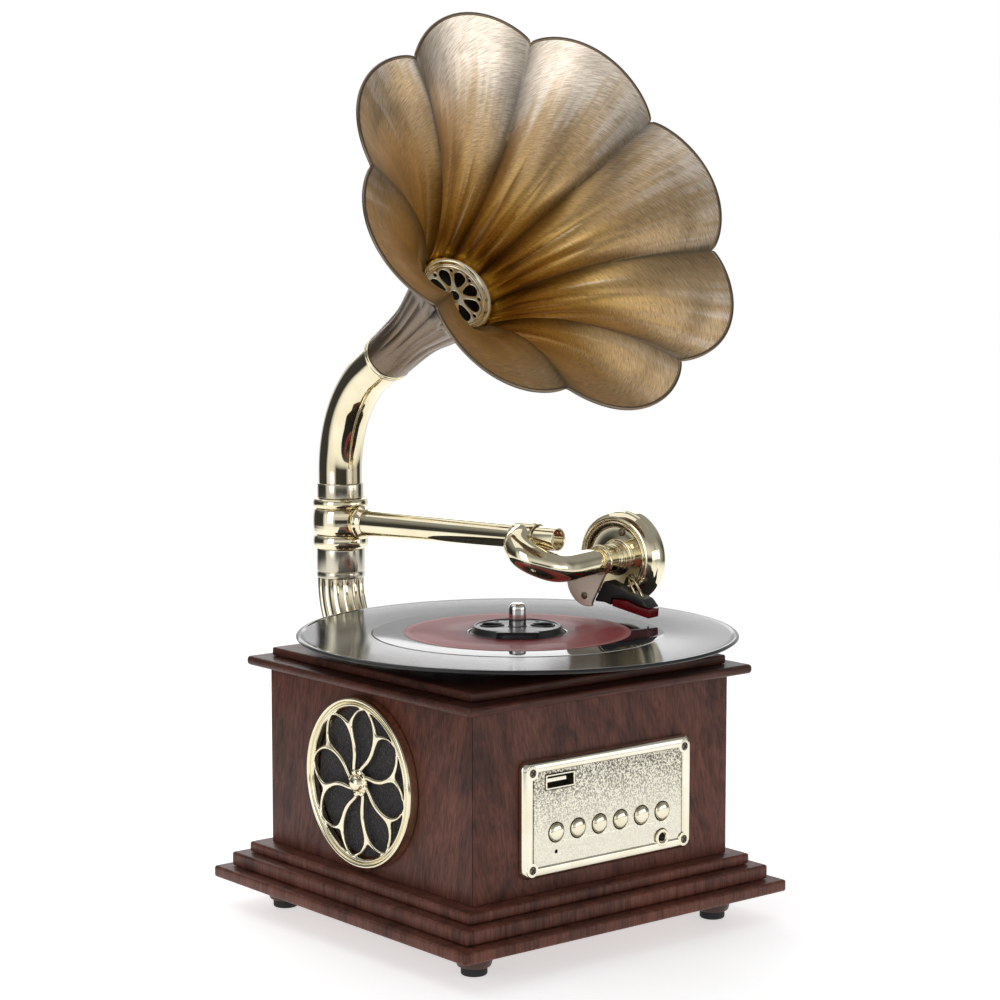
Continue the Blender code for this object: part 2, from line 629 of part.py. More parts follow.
def make_soundbox(line, mats):
    """Turned pieces whose own +Z runs across the arm, towards the post side of the hub."""
    place = (SOUNDBOX_AT, 0, SOUNDBOX_DROP)
    rim_z = -SOUNDBOX_T
    hub = [(0, HUB_LENGTH), (5.3, HUB_LENGTH), (HUB_R, HUB_LENGTH - 0.3), (HUB_R, 0.6), (6.9, 0.0),
           (6.9, -1.0), (6.2, -1.4), (0, -1.4)]
    face = [(0, -1.7), (6.6, -1.7), (7.4, -2.2), (13.2, -2.2), (15.0, -1.2), (15.0, -4.0), (0, -4.0)]
    rim = [(0, -9.8), (13.6, -9.8), (13.6, -4.8), (15.3, -4.6), (15.3, 0.0), (16.4, -0.1), (19.0, -1.2),
           (SOUNDBOX_R, -2.0), (SOUNDBOX_R, -9.4), (17.4, -11.8), (0, -11.8)]
    for name, profile, steps in (("hub", hub, 24), ("face", face, 24), ("rim", rim, 32)):
        profile = [(r, rim_z + z) for r, z in profile]
        turned(f"soundbox_{name}", profile, mats["gold"], line, place, (90, 0, 0), steps)

    across = SOUNDBOX_T - PLATE_BACK
    outline = [(10.6 * math.cos(a), 10.6 * math.sin(a)) for a in (math.tau * k / 20 for k in range(20))]
    plate = flat_plate("ear_plate", outline, PLATE_T, mats["gold"], line,
                       (SOUNDBOX_AT - 6.1, across, SOUNDBOX_DROP - 8.8), (90, 0, 0))
    place = (SOUNDBOX_AT, across, SOUNDBOX_DROP)
    eye = washer("ear_plate_eye", 5.0, 6.8, -PLATE_T / 2, PLATE_T / 2, None, line, place, (90, 0, 0), 20)
    combine(plate, eye, "UNION")
    drill(plate, HUB_R + GAP, place, (90, 0, 0), 10)
    trim = flat_plate("ear_plate_trim", CARTRIDGE_CLEARANCE, 12.0, None, line, cartridge_at(), (90, 0, 0))
    combine(plate, trim)


def cartridge_at():
    return (SOUNDBOX_AT + CARTRIDGE_NOSE[0], SOUNDBOX_T - CARTRIDGE_BACK, SOUNDBOX_DROP + CARTRIDGE_NOSE[1])


def make_cartridge(line, mats):
    """A black body with a red needle holder let into its underside."""
    frame = empty("cartridge_frame", line, cartridge_at())
    upright = {"location": (0, 0, 0), "rotation": (90, 0, 0)}
    flat_plate("cartridge", CARTRIDGE_SIDE, CARTRIDGE_W, mats["black"], frame, **upright)
    holder = flat_plate("needle_holder", HOLDER_SIDE, CARTRIDGE_W - 0.4, mats["red"], frame, **upright)
    needle = [(0, 0.6), (0.5, 0.6), (0.5, -0.6), (0.12, -1.4), (0, -1.4)]
    tip = turned("needle_tip", needle, None, frame, (-2.6, 0, 0.4), steps=12)
    combine(holder, tip, "UNION")


# --- horn -------------------------------------------------------------------
def crease_radius(distance):
    """Radius of the horn in a crease, read off the profile in straight steps."""
    for (l0, r0), (l1, r1) in zip(HORN_PROFILE, HORN_PROFILE[1:]):
        if distance <= l1:
            t = (distance - l0) / (l1 - l0)
            return r0 + (r1 - r0) * t
    return HORN_PROFILE[-1][1]


def horn_point(distance, angle):
    """A point on the horn's wall; petals swell between the creases and reach past them at the rim."""
    open_part = max(0.0, (distance - THROAT_AT) / (HORN_LENGTH - THROAT_AT))
    petal = abs(math.sin(PETALS / 2 * (angle - math.radians(PETAL_PHASE)))) ** PETAL_ROUNDING
    radius = crease_radius(distance) + PETAL_BULGE * open_part ** PETAL_GROWTH * petal
    height = distance + PETAL_REACH * open_part ** 4 * math.sqrt(petal)
    return Vector((radius * math.cos(angle), radius * math.sin(angle), height)) * MM


def make_horn_shell(frame, mats):
    """A loft of petalled rings, thickened to a sheet-metal wall."""
    columns = PETALS * 6
    rows = [l for l, _ in HORN_PROFILE[:-1]] + [121.2, HORN_LENGTH]
    bm = bmesh.new()
    start = math.radians(PETAL_PHASE)
    rings = [[bm.verts.new(horn_point(row, start + math.tau * k / columns)) for k in range(columns)]
             for row in rows]
    for low, high in zip(rings, rings[1:]):
        for k in range(columns):
            n = (k + 1) % columns
            bm.faces.new((low[k], low[n], high[n], high[k]))
    mesh = bpy.data.meshes.new("horn")
    bm.to_mesh(mesh)
    bm.free()
    smooth(mesh, 60)
    hollow(add_object("horn", mesh, mats["bronze"], frame), HORN_WALL, 0.0)


def make_throat_grille(frame, mats):
    ring = [(13.2, 1.2), (14.6, 2.2), (THROAT_R, 1.4), (THROAT_R, -1.0), (13.2, -1.0)]
    grille = turned("throat_grille", ring, mats["gold"], frame, (0, 0, THROAT_AT), steps=24, ring=True)
    eye = washer("throat_eye", 2.2, 3.8, -0.8, 0.8, None, frame, (0, 0, THROAT_AT), steps=12)
    combine(grille, eye, "UNION")
    for index in range(PETALS):
        angle = math.tau * index / PETALS
        points = [(r * math.cos(angle + s), r * math.sin(angle + s), THROAT_AT)
                  for r, s in ((3.0, 0.0), (13.8, 0.2))]
        combine(grille, swept(f"throat_wire_{index}", points, [0.6] * 2, None, frame, 0), "UNION")


def make_horn(swivel, mats):
    tilt = math.radians(HORN_TILT)
    path = [(0, 0, LEVELS[5]), (0, 0, ELBOW_START_Z)]
    for k in range(1, 9):
        angle = tilt * k / 8
        path.append((ELBOW_BEND * (1 - math.cos(angle)), 0, ELBOW_START_Z + ELBOW_BEND * math.sin(angle)))
    turn = path[-1]
    along = (math.sin(tilt), math.cos(tilt))
    end = (turn[0] + ELBOW_TAIL * along[0], 0, turn[2] + ELBOW_TAIL * along[1])
    collar_low = 2.2
    path.append((end[0] - collar_low * along[0], 0, end[2] - collar_low * along[1]))
    hollow(swept("horn_elbow", path, [ELBOW_R] * len(path), mats["gold"], swivel, 4, caps=False), 1.6)

    frame = empty("horn_frame", swivel, end, (0, HORN_TILT, 0))
    washer("neck_collar", 7.8, 10.7, -1.9, 0.7, mats["gold"], frame)
    make_horn_shell(frame, mats)
    make_throat_grille(frame, mats)
    driver = [(0, 46.8), (4, 46.0), (11, 48.4), (13.0, 48.6), (13.0, 47.0), (8.0, 43.0), (8.0, 36.0),
              (0, 36.0)]
    turned("horn_speaker", driver, mats["black"], frame, steps=24)


# --- placing ----------------------------------------------------------------
def centre_on_floor(root):
    """Move the whole model so that its box stands centred on the origin."""
    bpy.context.view_layer.update()
    graph = bpy.context.evaluated_depsgraph_get()
    corners = []
    for obj in COLLECTIONS["horn_record_player"].objects:
        if obj.type == "MESH":
            shape = obj.evaluated_get(graph)
            corners += [shape.matrix_world @ v.co for v in shape.data.vertices]
    low = [min(c[i] for c in corners) for i in range(3)]
    high = [max(c[i] for c in corners) for i in range(3)]
    root.location = (-(low[0] + high[0]) / 2, -(low[1] + high[1]) / 2, -low[2])
    bpy.context.view_layer.update()


def main():
    start_clean()
    mats = make_materials()
    root = empty("model_frame")
    make_case(root, mats)
    make_rear(root, mats)
    make_panel(root, mats)
    make_speakers(root, mats)
    make_platter(root, mats)
    make_motor(root, mats)
    make_belt(root, mats)
    swivel = make_post(root, mats)
    line = make_arm(root, mats)
    make_goose_neck(line, mats)
    make_soundbox(line, mats)
    make_cartridge(line, mats)
    make_horn(swivel, mats)
    centre_on_floor(root)


main()
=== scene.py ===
"""Looks for the retro horn record player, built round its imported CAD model.

Sizes are millimetres in the frames below and become metres through MM.
"""
import math

import bmesh
import bpy
from mathutils import Matrix, Vector


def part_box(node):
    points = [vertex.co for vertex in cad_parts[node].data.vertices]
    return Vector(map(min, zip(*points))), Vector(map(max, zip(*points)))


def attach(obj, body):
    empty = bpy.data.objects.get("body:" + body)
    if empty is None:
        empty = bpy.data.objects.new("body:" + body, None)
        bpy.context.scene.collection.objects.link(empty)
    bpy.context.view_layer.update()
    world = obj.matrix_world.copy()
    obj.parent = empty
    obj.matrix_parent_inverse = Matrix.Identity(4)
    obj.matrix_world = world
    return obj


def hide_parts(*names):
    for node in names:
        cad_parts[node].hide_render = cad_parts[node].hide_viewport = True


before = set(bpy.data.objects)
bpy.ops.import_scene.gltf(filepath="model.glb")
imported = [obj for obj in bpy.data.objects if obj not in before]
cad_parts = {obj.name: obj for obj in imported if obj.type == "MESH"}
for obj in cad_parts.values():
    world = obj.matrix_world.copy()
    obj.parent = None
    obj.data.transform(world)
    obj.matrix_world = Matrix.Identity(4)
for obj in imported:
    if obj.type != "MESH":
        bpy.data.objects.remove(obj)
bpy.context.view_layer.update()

MM = 0.001
TAU = math.tau
GAP = 0.3
VIEW_AZIMUTH = -39.36         # where the camera stands, in degrees from the front

CASE_HALF = 64.7
WALL_T = 6.0
FOOT_H = 11.2
FOOT_AT = 61.1                # foot centres, each way from the case centre
PLINTH = (("bottom_board", 17.3, 4.9), ("plinth_middle", 12.0, 5.9), ("plinth_top", 6.8, 4.5))
TOP_OVERHANG = 7.2
PLINTH_Z = FOOT_H + sum(thickness for _, _, thickness in PLINTH)
CASE_TOP_Z = PLINTH_Z + 72.6
TOP_Z = CASE_TOP_Z + 3.8
DECK_Z = TOP_Z + 3.7
SEAM = 0.1                    # dark line between two boards

RECORD_AT = (2.0, -10.2)
RECORD_Z = DECK_Z + 8.8       # playing surface
RECORD_T = 1.6
LABEL_R = 45.0
DEAD_WAX_R = 57.6
MOTOR_OFFSET = 46.0           # pulley distance from the platter axis

POST_Y = 105.8
POST_BORE_R = 6.3
BRACKET_BEND = 36.9
BEAD_R = 11.7
LEVELS = (124.6, 137.2, 143.2, 154.5, 158.8, 165.2)   # sleeve, bead, barrel, bead, sleeve
ARM_Z = 148.7
ARM_HEADING = 11.2            # degrees from -Y towards +X
ARM_RISE = 0.8
SOUNDBOX = (118.7, 36.0, -11.25)   # along the arm, across it, and up
CARTRIDGE_NOSE = (24.2, -5.3, -22.0)   # from the soundbox centre, the same way

HORN_HEADING = -3.4
HORN_TILT = 60.9              # axis from the vertical
ELBOW_BEND = 50.7
ELBOW_START = 170.0
ELBOW_TAIL = 13.2
THROAT_AT = 54.4
HORN_LENGTH = 124.7

PANEL_Z = 55.5
PANEL_SIZE = (85.6, 45.0)
BUTTON_LEFT = -26.6
BUTTON_PITCH = 10.8
BUTTON_Z = 49.6
BUTTONS = 6
PIN_HOLE_Z = 42.2
USB_AT = (-24.8, 69.2 - PANEL_Z)
AUX_AT = (27.2, 39.1 - PANEL_Z)
INLET_AT = (42.0, 42.0)


# --- frames -------------------------------------------------------------------
def shift(x=0.0, y=0.0, z=0.0):
    return Matrix.Translation(Vector((x, y, z)) * MM)


def turn(degrees, axis):
    return Matrix.Rotation(math.radians(degrees), 4, axis)


def case_centre():
    low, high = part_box("deck_board")
    return Matrix.Translation(((low.x + high.x) / 2, (low.y + high.y) / 2, 0.0))


MODEL = case_centre()
PLATTER = MODEL @ shift(*RECORD_AT)
POST = MODEL @ shift(0, POST_Y, 0)
LINE = POST @ shift(0, 0, ARM_Z) @ turn(ARM_HEADING - 90, "Z") @ turn(-ARM_RISE, "Y")
SWIVEL = POST @ turn(HORN_HEADING - 90, "Z")
FRONT = MODEL @ shift(0, -CASE_HALF, PANEL_Z) @ turn(90, "X")
BACK = MODEL @ shift(0, CASE_HALF) @ turn(-90, "X")


def elbow_point(angle, tail=0.0):
    """A point on the horn's bent pipe: along its arc to an angle, then straight on."""
    return Vector((ELBOW_BEND * (1 - math.cos(angle)) + tail * math.sin(angle), 0.0,
                   ELBOW_START + ELBOW_BEND * math.sin(angle) + tail * math.cos(angle)))


HORN = SWIVEL @ shift(*elbow_point(math.radians(HORN_TILT), ELBOW_TAIL)) @ turn(HORN_TILT, "Y")


# --- shader helpers -----------------------------------------------------------
class Nodes:
    """Short ways to add nodes to a node tree."""

    def __init__(self, tree):
        self.nodes = tree.nodes
        self.links = tree.links

    def node(self, kind, **inputs):
        node = self.nodes.new("ShaderNode" + kind)
        for key, value in inputs.items():
            self.set(node.inputs[key.replace("_", " ")], value)
        return node

    def set(self, socket, value):
        if isinstance(value, bpy.types.NodeSocket):
            self.links.new(value, socket)
        else:
            socket.default_value = value

    def math(self, operation, *values):
        node = self.nodes.new("ShaderNodeMath")
        node.operation = operation
        for socket, value in zip(node.inputs, values):
            self.set(socket, value)
        return node.outputs[0]

    def length(self, vector):
        node = self.nodes.new("ShaderNodeVectorMath")
        node.operation = "LENGTH"
        self.links.new(vector, node.inputs[0])
        return node.outputs["Value"]

    def ramp(self, value, stops):
        """Maps value to the colours or numbers in stops."""
        node = self.nodes.new("ShaderNodeValToRGB")
        elements = node.color_ramp.elements
        while len(elements) < len(stops):
            elements.new(0.5)
        for element, (place, colour) in zip(elements, stops):
            element.position = place
            colour = (colour,) * 3 if isinstance(colour, (int, float)) else colour
            element.color = (*colour, 1.0)
        self.links.new(value, node.inputs[0])
        return node.outputs[0]

    def mix(self, factor, a, b, blend="MIX"):
        """Mixes two colours; a single number stands for a grey."""
        node = self.nodes.new("ShaderNodeMix")
        node.data_type = "RGBA"
        node.blend_type = blend
        self.set(node.inputs[0], factor)
        for socket, value in ((node.inputs[6], a), (node.inputs[7], b)):
            if isinstance(value, float):
                value = (value,) * 3
            if isinstance(value, tuple):
                value = (*value, 1.0)
            self.set(socket, value)
        return node.outputs[2]


class Shader(Nodes):
    """A Principled material with procedural detail."""

    def __init__(self, name, slot, metallic=0.0, **values):
        self.mat = bpy.data.materials.new(name)
        self.mat.use_nodes = True
        self.mat["slot"] = slot
        super().__init__(self.mat.node_tree)
        self.shader = self.nodes["Principled BSDF"]
        self.shader.inputs["Metallic"].default_value = metallic
        for key, value in values.items():
            self.shader.inputs[key.replace("_", " ")].default_value = value

    def place(self, scale=(1, 1, 1), offset=(0, 0, 0), source="Object", lean=0.0):
        """Texture coordinates in the object's own space, stretched by scale and leaning by degrees."""
        coords = self.nodes.new("ShaderNodeTexCoord")
        mapping = self.nodes.new("ShaderNodeMapping")
        mapping.vector_type = "TEXTURE" if lean else "POINT"
        if lean:
            scale = [1.0 / value for value in scale]
            mapping.inputs["Rotation"].default_value = (math.radians(lean), math.radians(-lean), 0)
        mapping.inputs["Scale"].default_value = scale
        mapping.inputs["Location"].default_value = offset
        self.links.new(coords.outputs[source], mapping.inputs["Vector"])
        return mapping.outputs[0]

    def noise(self, vector, scale, detail=4.0, rough=0.55, distortion=0.0):
        node = self.node("TexNoise", Vector=vector, Scale=scale, Detail=detail, Roughness=rough,
                         Distortion=distortion)
        return node.outputs[0]

    def attribute(self, name):
        node = self.nodes.new("ShaderNodeAttribute")
        node.attribute_name = name
        return node.outputs["Fac"]

    def colour(self, socket):
        self.links.new(socket, self.shader.inputs["Base Color"])

    def rough(self, value, low, high):
        node = self.node("MapRange", Value=value, To_Min=low, To_Max=high)
        self.links.new(node.outputs[0], self.shader.inputs["Roughness"])

    def bump(self, height, strength, distance=0.1):
        """Bump from a height, distance in millimetres; a second call adds to the first."""
        node = self.node("Bump", Strength=strength, Distance=distance * MM, Height=height)
        normal = self.shader.inputs["Normal"]
        if normal.links:
            self.links.new(normal.links[0].from_socket, node.inputs["Normal"])
        self.links.new(node.outputs[0], normal)


def radius_from(s, centre):
    """Distance from a vertical axis, in metres."""
    at = centre.to_translation()
    return s.length(s.place(scale=(1, 1, 0), offset=(-at.x, -at.y, 0)))


# --- materials ----------------------------------------------------------------
def wood(name, along, tone=1.0, lean=0.0):
    """Dark reddish walnut whose hairline grain runs along one axis, with a swirling figure."""
    s = Shader(name, "walnut_wood", Coat_Weight=0.05, Coat_Roughness=0.30, Specular_IOR_Level=0.20)
    fine = [900.0, 900.0, 900.0]
    broad = [46.0, 46.0, 46.0]
    fine[along] = 40.0
    broad[along] = 17.0
    grain = s.noise(s.place(scale=fine, lean=lean), 1.0, 4.0, 0.62, 0.8)
    figure = s.noise(s.place(scale=broad, lean=2 * lean), 1.0, 5.0, 0.60, 2.4)
    blotch = s.noise(s.place(scale=(15, 15, 15)), 1.0, 2.0)
    dark = (0.036 * tone, 0.0135 * tone, 0.0098 * tone)
    mid = (0.084 * tone, 0.0290 * tone, 0.0190 * tone)
    light = (0.112 * tone, 0.0440 * tone, 0.0310 * tone)
    body = s.ramp(figure, ((0.28, dark), (0.50, mid), (0.76, light)))
    lines = s.ramp(grain, ((0.32, 0.50), (0.50, 0.95), (0.70, 1.38)))
    warm = s.ramp(blotch, ((0.35, (0.88, 0.90, 0.92)), (0.65, (1.12, 1.00, 0.96))))
    s.colour(s.mix(1.0, s.mix(1.0, body, lines, "MULTIPLY"), warm, "MULTIPLY"))
    s.rough(grain, 0.52, 0.38)
    s.bump(grain, 0.5, 0.06)
    return s.mat


def gold(name, slot, colour, low, high, grain=(300, 300, 300), strength=0.05):
    """Plated metal with a faint grain and soft wear in its gloss."""
    s = Shader(name, slot, metallic=1.0)
    wear = s.noise(s.place(scale=(55, 55, 55)), 1.0, 4.0)
    fine = s.noise(s.place(scale=grain), 1.0, 3.0)
    deep = tuple(c * k for c, k in zip(colour, (0.90, 0.86, 0.78)))
    s.colour(s.ramp(wear, ((0.30, deep), (0.62, colour))))
    s.rough(wear, low, high)
    s.bump(fine, strength, 0.02)
    return s.mat


def horn_bronze(name, inside):
    """Brushed bronze: gold-brown in the bell, pale at the petal tips, pewter outside; painted highlights and
    crease shade.
    """
    s = Shader(name, "brushed_bronze", metallic=0.84, Specular_IOR_Level=0.4)
    along = s.attribute("along")
    crest = s.attribute("crest")
    streak = s.noise(s.place(scale=(64, 1.6, 1), source="UV"), 1.0, 5.0, 0.6)
    turn_round, up = s.node("SeparateXYZ", Vector=s.place(source="UV")).outputs[:2]
    across = s.math("ADD", s.math("MULTIPLY", turn_round, 0.9), up)
    slanted = s.node("CombineXYZ", X=s.math("MULTIPLY", across, 560.0),
                     Y=s.math("MULTIPLY", turn_round, 90.0))
    hatch = s.noise(slanted.outputs[0], 1.0, 3.0, 0.7)
    cloud = s.noise(s.place(scale=(26, 26, 26)), 1.0, 3.0)
    drift = s.math("MULTIPLY", s.math("SUBTRACT", streak, 0.5), 0.75)
    spot = s.math("MULTIPLY", s.math("SUBTRACT", cloud, 0.5), 0.40)
    reach = s.math("ADD", s.math("ADD", along, drift), spot)
    if inside:
        stops = (
            (0.00, (0.66, 0.40, 0.060)), (0.10, (0.38, 0.185, 0.026)), (0.28, (0.64, 0.385, 0.095)),
            (0.48, (0.60, 0.390, 0.160)), (0.64, (0.51, 0.340, 0.170)), (0.77, (0.58, 0.415, 0.245)),
            (0.93, (0.84, 0.725, 0.600)))
    else:
        stops = (
            (0.00, (0.20, 0.145, 0.100)), (0.30, (0.16, 0.115, 0.080)), (0.60, (0.20, 0.145, 0.100)),
            (0.80, (0.34, 0.260, 0.190)), (0.92, (0.44, 0.360, 0.280)), (1.00, (0.54, 0.460, 0.380)))
    body = s.ramp(s.math("MULTIPLY", reach, 0.8 if inside else 1.0), stops)
    # painted shade: colour darkened along the creases between petals, a touch lighter on the petal crowns
    crease_shade = s.ramp(crest, ((0.0, 0.30), (0.28, 0.68), (0.7, 1.06)))
    if inside:
        # painted highlight: pale streaks down the middle of the petals stand in for specular streaks
        ridge = s.noise(s.place(scale=(72, 1.3, 1), offset=(3, 0, 0), source="UV"), 1.0, 3.0, 0.5)
        band = s.ramp(along, ((0.10, 0.0), (0.26, 1.0), (0.50, 1.0), (0.72, 0.0)))
        peaks = s.ramp(ridge, ((0.56, 0.0), (0.68, 1.0)))
        painted_streaks = s.math("MULTIPLY", s.math("MULTIPLY", peaks, band), 0.75)
        body = s.mix(painted_streaks, body, (0.98, 0.86, 0.66))
    fine = s.ramp(hatch, ((0.34, 0.62), (0.50, 1.0), (0.68, 1.32)))
    s.colour(s.mix(1.0, s.mix(1.0, body, crease_shade, "MULTIPLY"), fine, "MULTIPLY"))
    s.rough(streak, 0.25, 0.40)
    s.bump(hatch, 0.4, 0.05)
    s.bump(streak, 0.45, 0.22)
    return s.mat


def hammered(name):
    """Pale gold plate, pebbled towards its top edge and smoother below, with painted dark shade on the
    pebbles near the top.
    """
    s = Shader(name, "hammered_gold", metallic=1.0)
    colour = (0.80, 0.765, 0.64)
    height = s.node("SeparateXYZ", Vector=s.place()).outputs["Z"]
    upper = s.node("MapRange", Value=height, From_Min=0.048, From_Max=0.076, To_Min=0.12,
                   To_Max=1.0).outputs[0]
    pits = s.node("TexVoronoi", Vector=s.place(), Scale=820.0).outputs["Distance"]
    dents = s.noise(s.place(), 1350.0, 2.0, 0.5)
    # painted shade: dark specks on the pebbles, denser towards the top
    painted_pebble_shade = s.math("MULTIPLY", s.ramp(dents, ((0.48, 0.0), (0.56, 1.0))), upper)
    s.colour(s.mix(painted_pebble_shade, colour, (0.10, 0.09, 0.075)))
    s.rough(dents, 0.12, 0.24)
    s.bump(s.math("MULTIPLY", dents, upper), 1.0, 0.75)
    s.bump(s.math("MULTIPLY", pits, upper), 0.7, 0.30)
    return s.mat


def vinyl(name):
    """Black record with turned grooves outside the dead wax."""
    s = Shader(name, "record_vinyl", Specular_IOR_Level=0.19, Coat_Weight=0.02, Coat_Roughness=0.02)
    radius = radius_from(s, PLATTER)
    groove = s.math("SINE", s.math("MULTIPLY", radius, TAU / (0.55 * MM)))
    band = s.noise(s.node("CombineXYZ", X=radius).outputs[0], 900.0, 5.0, 0.85)
    outside = s.math("GREATER_THAN", radius, DEAD_WAX_R * MM)
    dust = s.noise(s.place(scale=(900, 900, 900)), 1.0, 2.0)
    tone = s.ramp(band, ((0.30, (0.014, 0.014, 0.015)), (0.70, (0.040, 0.040, 0.042))))
    smooth = s.ramp(dust, ((0.3, (0.022, 0.022, 0.023)), (0.7, (0.034, 0.034, 0.035))))
    s.colour(s.mix(outside, smooth, tone))
    blur = s.math("MULTIPLY", s.math("MULTIPLY", band, outside), 0.32)
    s.rough(s.math("ADD", blur, 0.05), 0.03, 0.34)
    s.bump(s.math("MULTIPLY", groove, outside), 0.18, 0.012)
    return s.mat


def paper(name):
    """Dull red label, darkest under the adapter, with a pale rim."""
    s = Shader(name, "record_vinyl", Specular_IOR_Level=0.16, Coat_Weight=0.10, Coat_Roughness=0.06)
    fibre = s.noise(s.place(scale=(1500, 1500, 1500)), 1.0, 4.0)
    fade = s.noise(s.place(scale=(26, 26, 26)), 1.0, 3.0)
    radius = radius_from(s, PLATTER)
    ring = s.ramp(s.math("DIVIDE", radius, LABEL_R * MM), (
        (0.42, (0.14, 0.018, 0.020)), (0.60, (0.30, 0.050, 0.055)), (0.93, (0.35, 0.066, 0.070)),
        (0.97, (0.46, 0.17, 0.17))))
    spread = s.ramp(fade, ((0.3, 0.78), (0.7, 1.2)))
    s.colour(s.mix(1.0, ring, spread, "MULTIPLY"))
    s.rough(fibre, 0.42, 0.62)
    s.bump(fibre, 0.25, 0.03)
    return s.mat


def plastic(name, slot, colour, low=0.22, high=0.40, strength=0.2):
    """Moulded plastic or rubber, slightly cloudy."""
    s = Shader(name, slot)
    fine = s.noise(s.place(scale=(1300, 1300, 1300)), 1.0, 3.0)
    broad = s.noise(s.place(scale=(60, 60, 60)), 1.0, 3.0)
    dark, light = (tuple(c * k for c in colour) for k in (0.75, 1.25))
    s.colour(s.ramp(broad, ((0.3, dark), (0.7, light))))
    s.rough(broad, low, high)
    s.bump(fine, strength, 0.03)
    return s.mat


def cloth(name):
    """Open speaker weave with paler flecks."""
    s = Shader(name, "speaker_cloth", Sheen_Weight=0.15)
    weave = s.node("TexVoronoi", Vector=s.place(), Scale=1150.0).outputs["Distance"]
    fleck = s.noise(s.place(scale=(1600, 1600, 1600)), 1.0, 2.0, 0.8)
    s.colour(s.ramp(fleck, ((0.42, (0.005, 0.004, 0.004)), (0.58, (0.018, 0.013, 0.014)),
                            (0.72, (0.10, 0.075, 0.08)))))
    s.rough(fleck, 0.95, 0.75)
    s.bump(weave, 0.8, 0.25)
    return s.mat


def make_materials():
    return {
        # painted light: one walnut in three tones, lightest on the plinth and darkest on the top boards, for
        # how light falls on them
        "wall": wood("walnut_wall", 2, 1.25, lean=9.0),
        "plinth": wood("walnut_plinth", 2, 1.50),
        "top": wood("walnut_top", 0, 0.95),
        "gold": gold("polished_gold", "polished_gold", (0.89, 0.82, 0.61), 0.03, 0.09),
        "grille": gold("cast_gold", "polished_gold", (0.90, 0.84, 0.65), 0.08, 0.17, strength=0.12),
        "satin": gold("satin_gold", "satin_gold", (0.70, 0.66, 0.55), 0.10, 0.19, (900, 900, 20), 0.25),
        "ear": gold("ear_gold", "satin_gold", (0.90, 0.85, 0.74), 0.42, 0.55),
        "horn_in": horn_bronze("bronze_inside", True),
        "horn_out": horn_bronze("bronze_outside", False),
        "rim": gold("horn_rim", "brushed_bronze", (0.22, 0.17, 0.12), 0.20, 0.35),
        "panel": hammered("hammered_gold"),
        "border": gold("panel_border", "hammered_gold", (0.92, 0.88, 0.74), 0.08, 0.18),
        "button": gold("button_gold", "button_gold", (0.90, 0.86, 0.70), 0.05, 0.12),
        "screw": gold("dark_screw", "hammered_gold", (0.20, 0.17, 0.13), 0.25, 0.45),
        "steel": gold("socket_steel", "socket_steel", (0.58, 0.58, 0.60), 0.2, 0.35),
        "chrome": gold("spindle_chrome", "spindle_chrome", (0.80, 0.80, 0.82), 0.04, 0.12),
        "vinyl": vinyl("record_vinyl"),
        "label": paper("record_label"),
        "black": plastic("black_plastic", "black_plastic", (0.012, 0.012, 0.013)),
        "red": plastic("red_plastic", "red_plastic", (0.15, 0.003, 0.006), 0.12, 0.26),
        "foot": plastic("foot_brown", "foot_rubber", (0.060, 0.026, 0.018), 0.35, 0.5),
        "rubber": plastic("foot_rubber", "foot_rubber", (0.012, 0.011, 0.011), 0.6, 0.8, 0.4),
        "belt": plastic("belt_rubber", "belt_rubber", (0.013, 0.012, 0.012), 0.6, 0.8, 0.4),
        "cloth": cloth("speaker_cloth"),
        "cone": plastic("speaker_black", "speaker_black", (0.010, 0.010, 0.010), 0.5, 0.7, 0.5),
        "board": plastic("board_green", "board_green", (0.015, 0.10, 0.04), 0.4, 0.6),
    }


# --- mesh helpers -------------------------------------------------------------
def add(name, mesh, mat, body, *nodes, angle=32.0):
    """A finished piece: smooth shaded, riding on its body, standing for the CAD nodes given."""
    if not mesh.materials:
        mesh.materials.append(mat)
    mesh.materials[0] = mat
    mesh.shade_smooth()
    mesh.set_sharp_from_angle(angle=math.radians(angle))
    obj = bpy.data.objects.new(name, mesh)
    bpy.context.scene.collection.objects.link(obj)
    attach(obj, body)
    if nodes:
        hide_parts(*nodes)
    return obj


def from_bmesh(name, bm):
    bmesh.ops.recalc_face_normals(bm, faces=bm.faces)
    mesh = bpy.data.meshes.new(name)
    bm.to_mesh(mesh)
    bm.free()
    return mesh


def loft(name, rings, place, caps=(False, False), wrap=False):
    """A skin through rings of points; a ring of one point is a pole. Points are millimetres in place."""
    bm = bmesh.new()
    rows = [[bm.verts.new(place @ (Vector(p) * MM)) for p in ring] for ring in rings]
    pairs = list(zip(rows, rows[1:]))
    if wrap:
        pairs.append((rows[-1], rows[0]))
    for low, high in pairs:
        count = max(len(low), len(high))
        for k in range(count):
            n = (k + 1) % count
            if len(low) == 1:
                bm.faces.new((low[0], high[n], high[k]))
            elif len(high) == 1:
                bm.faces.new((low[k], low[n], high[0]))
            else:
                bm.faces.new((low[k], low[n], high[n], high[k]))
    if caps[0]:
        bm.faces.new(rows[0])
    if caps[1]:
        bm.faces.new(rows[-1])
    return from_bmesh(name, bm)


def rounded(points, radius, closed=False, samples=3):
    """The same outline with its corners rounded off."""
    count = len(points)
    out = []
    for i, corner in enumerate(points):
        if not closed and i in (0, count - 1):
            out.append(tuple(corner))
            continue
        here = Vector(corner)
        before = Vector(points[i - 1]) - here
        after = Vector(points[(i + 1) % count]) - here
        cut = min(radius, 0.45 * before.length, 0.45 * after.length)
        if cut < 0.02:
            out.append(tuple(corner))
            continue
        a = here + before.normalized() * cut
        b = here + after.normalized() * cut
        for step in range(samples + 1):
            t = step / samples
            out.append(tuple(a * (1 - t) ** 2 + here * (2 * t * (1 - t)) + b * t * t))
    return out


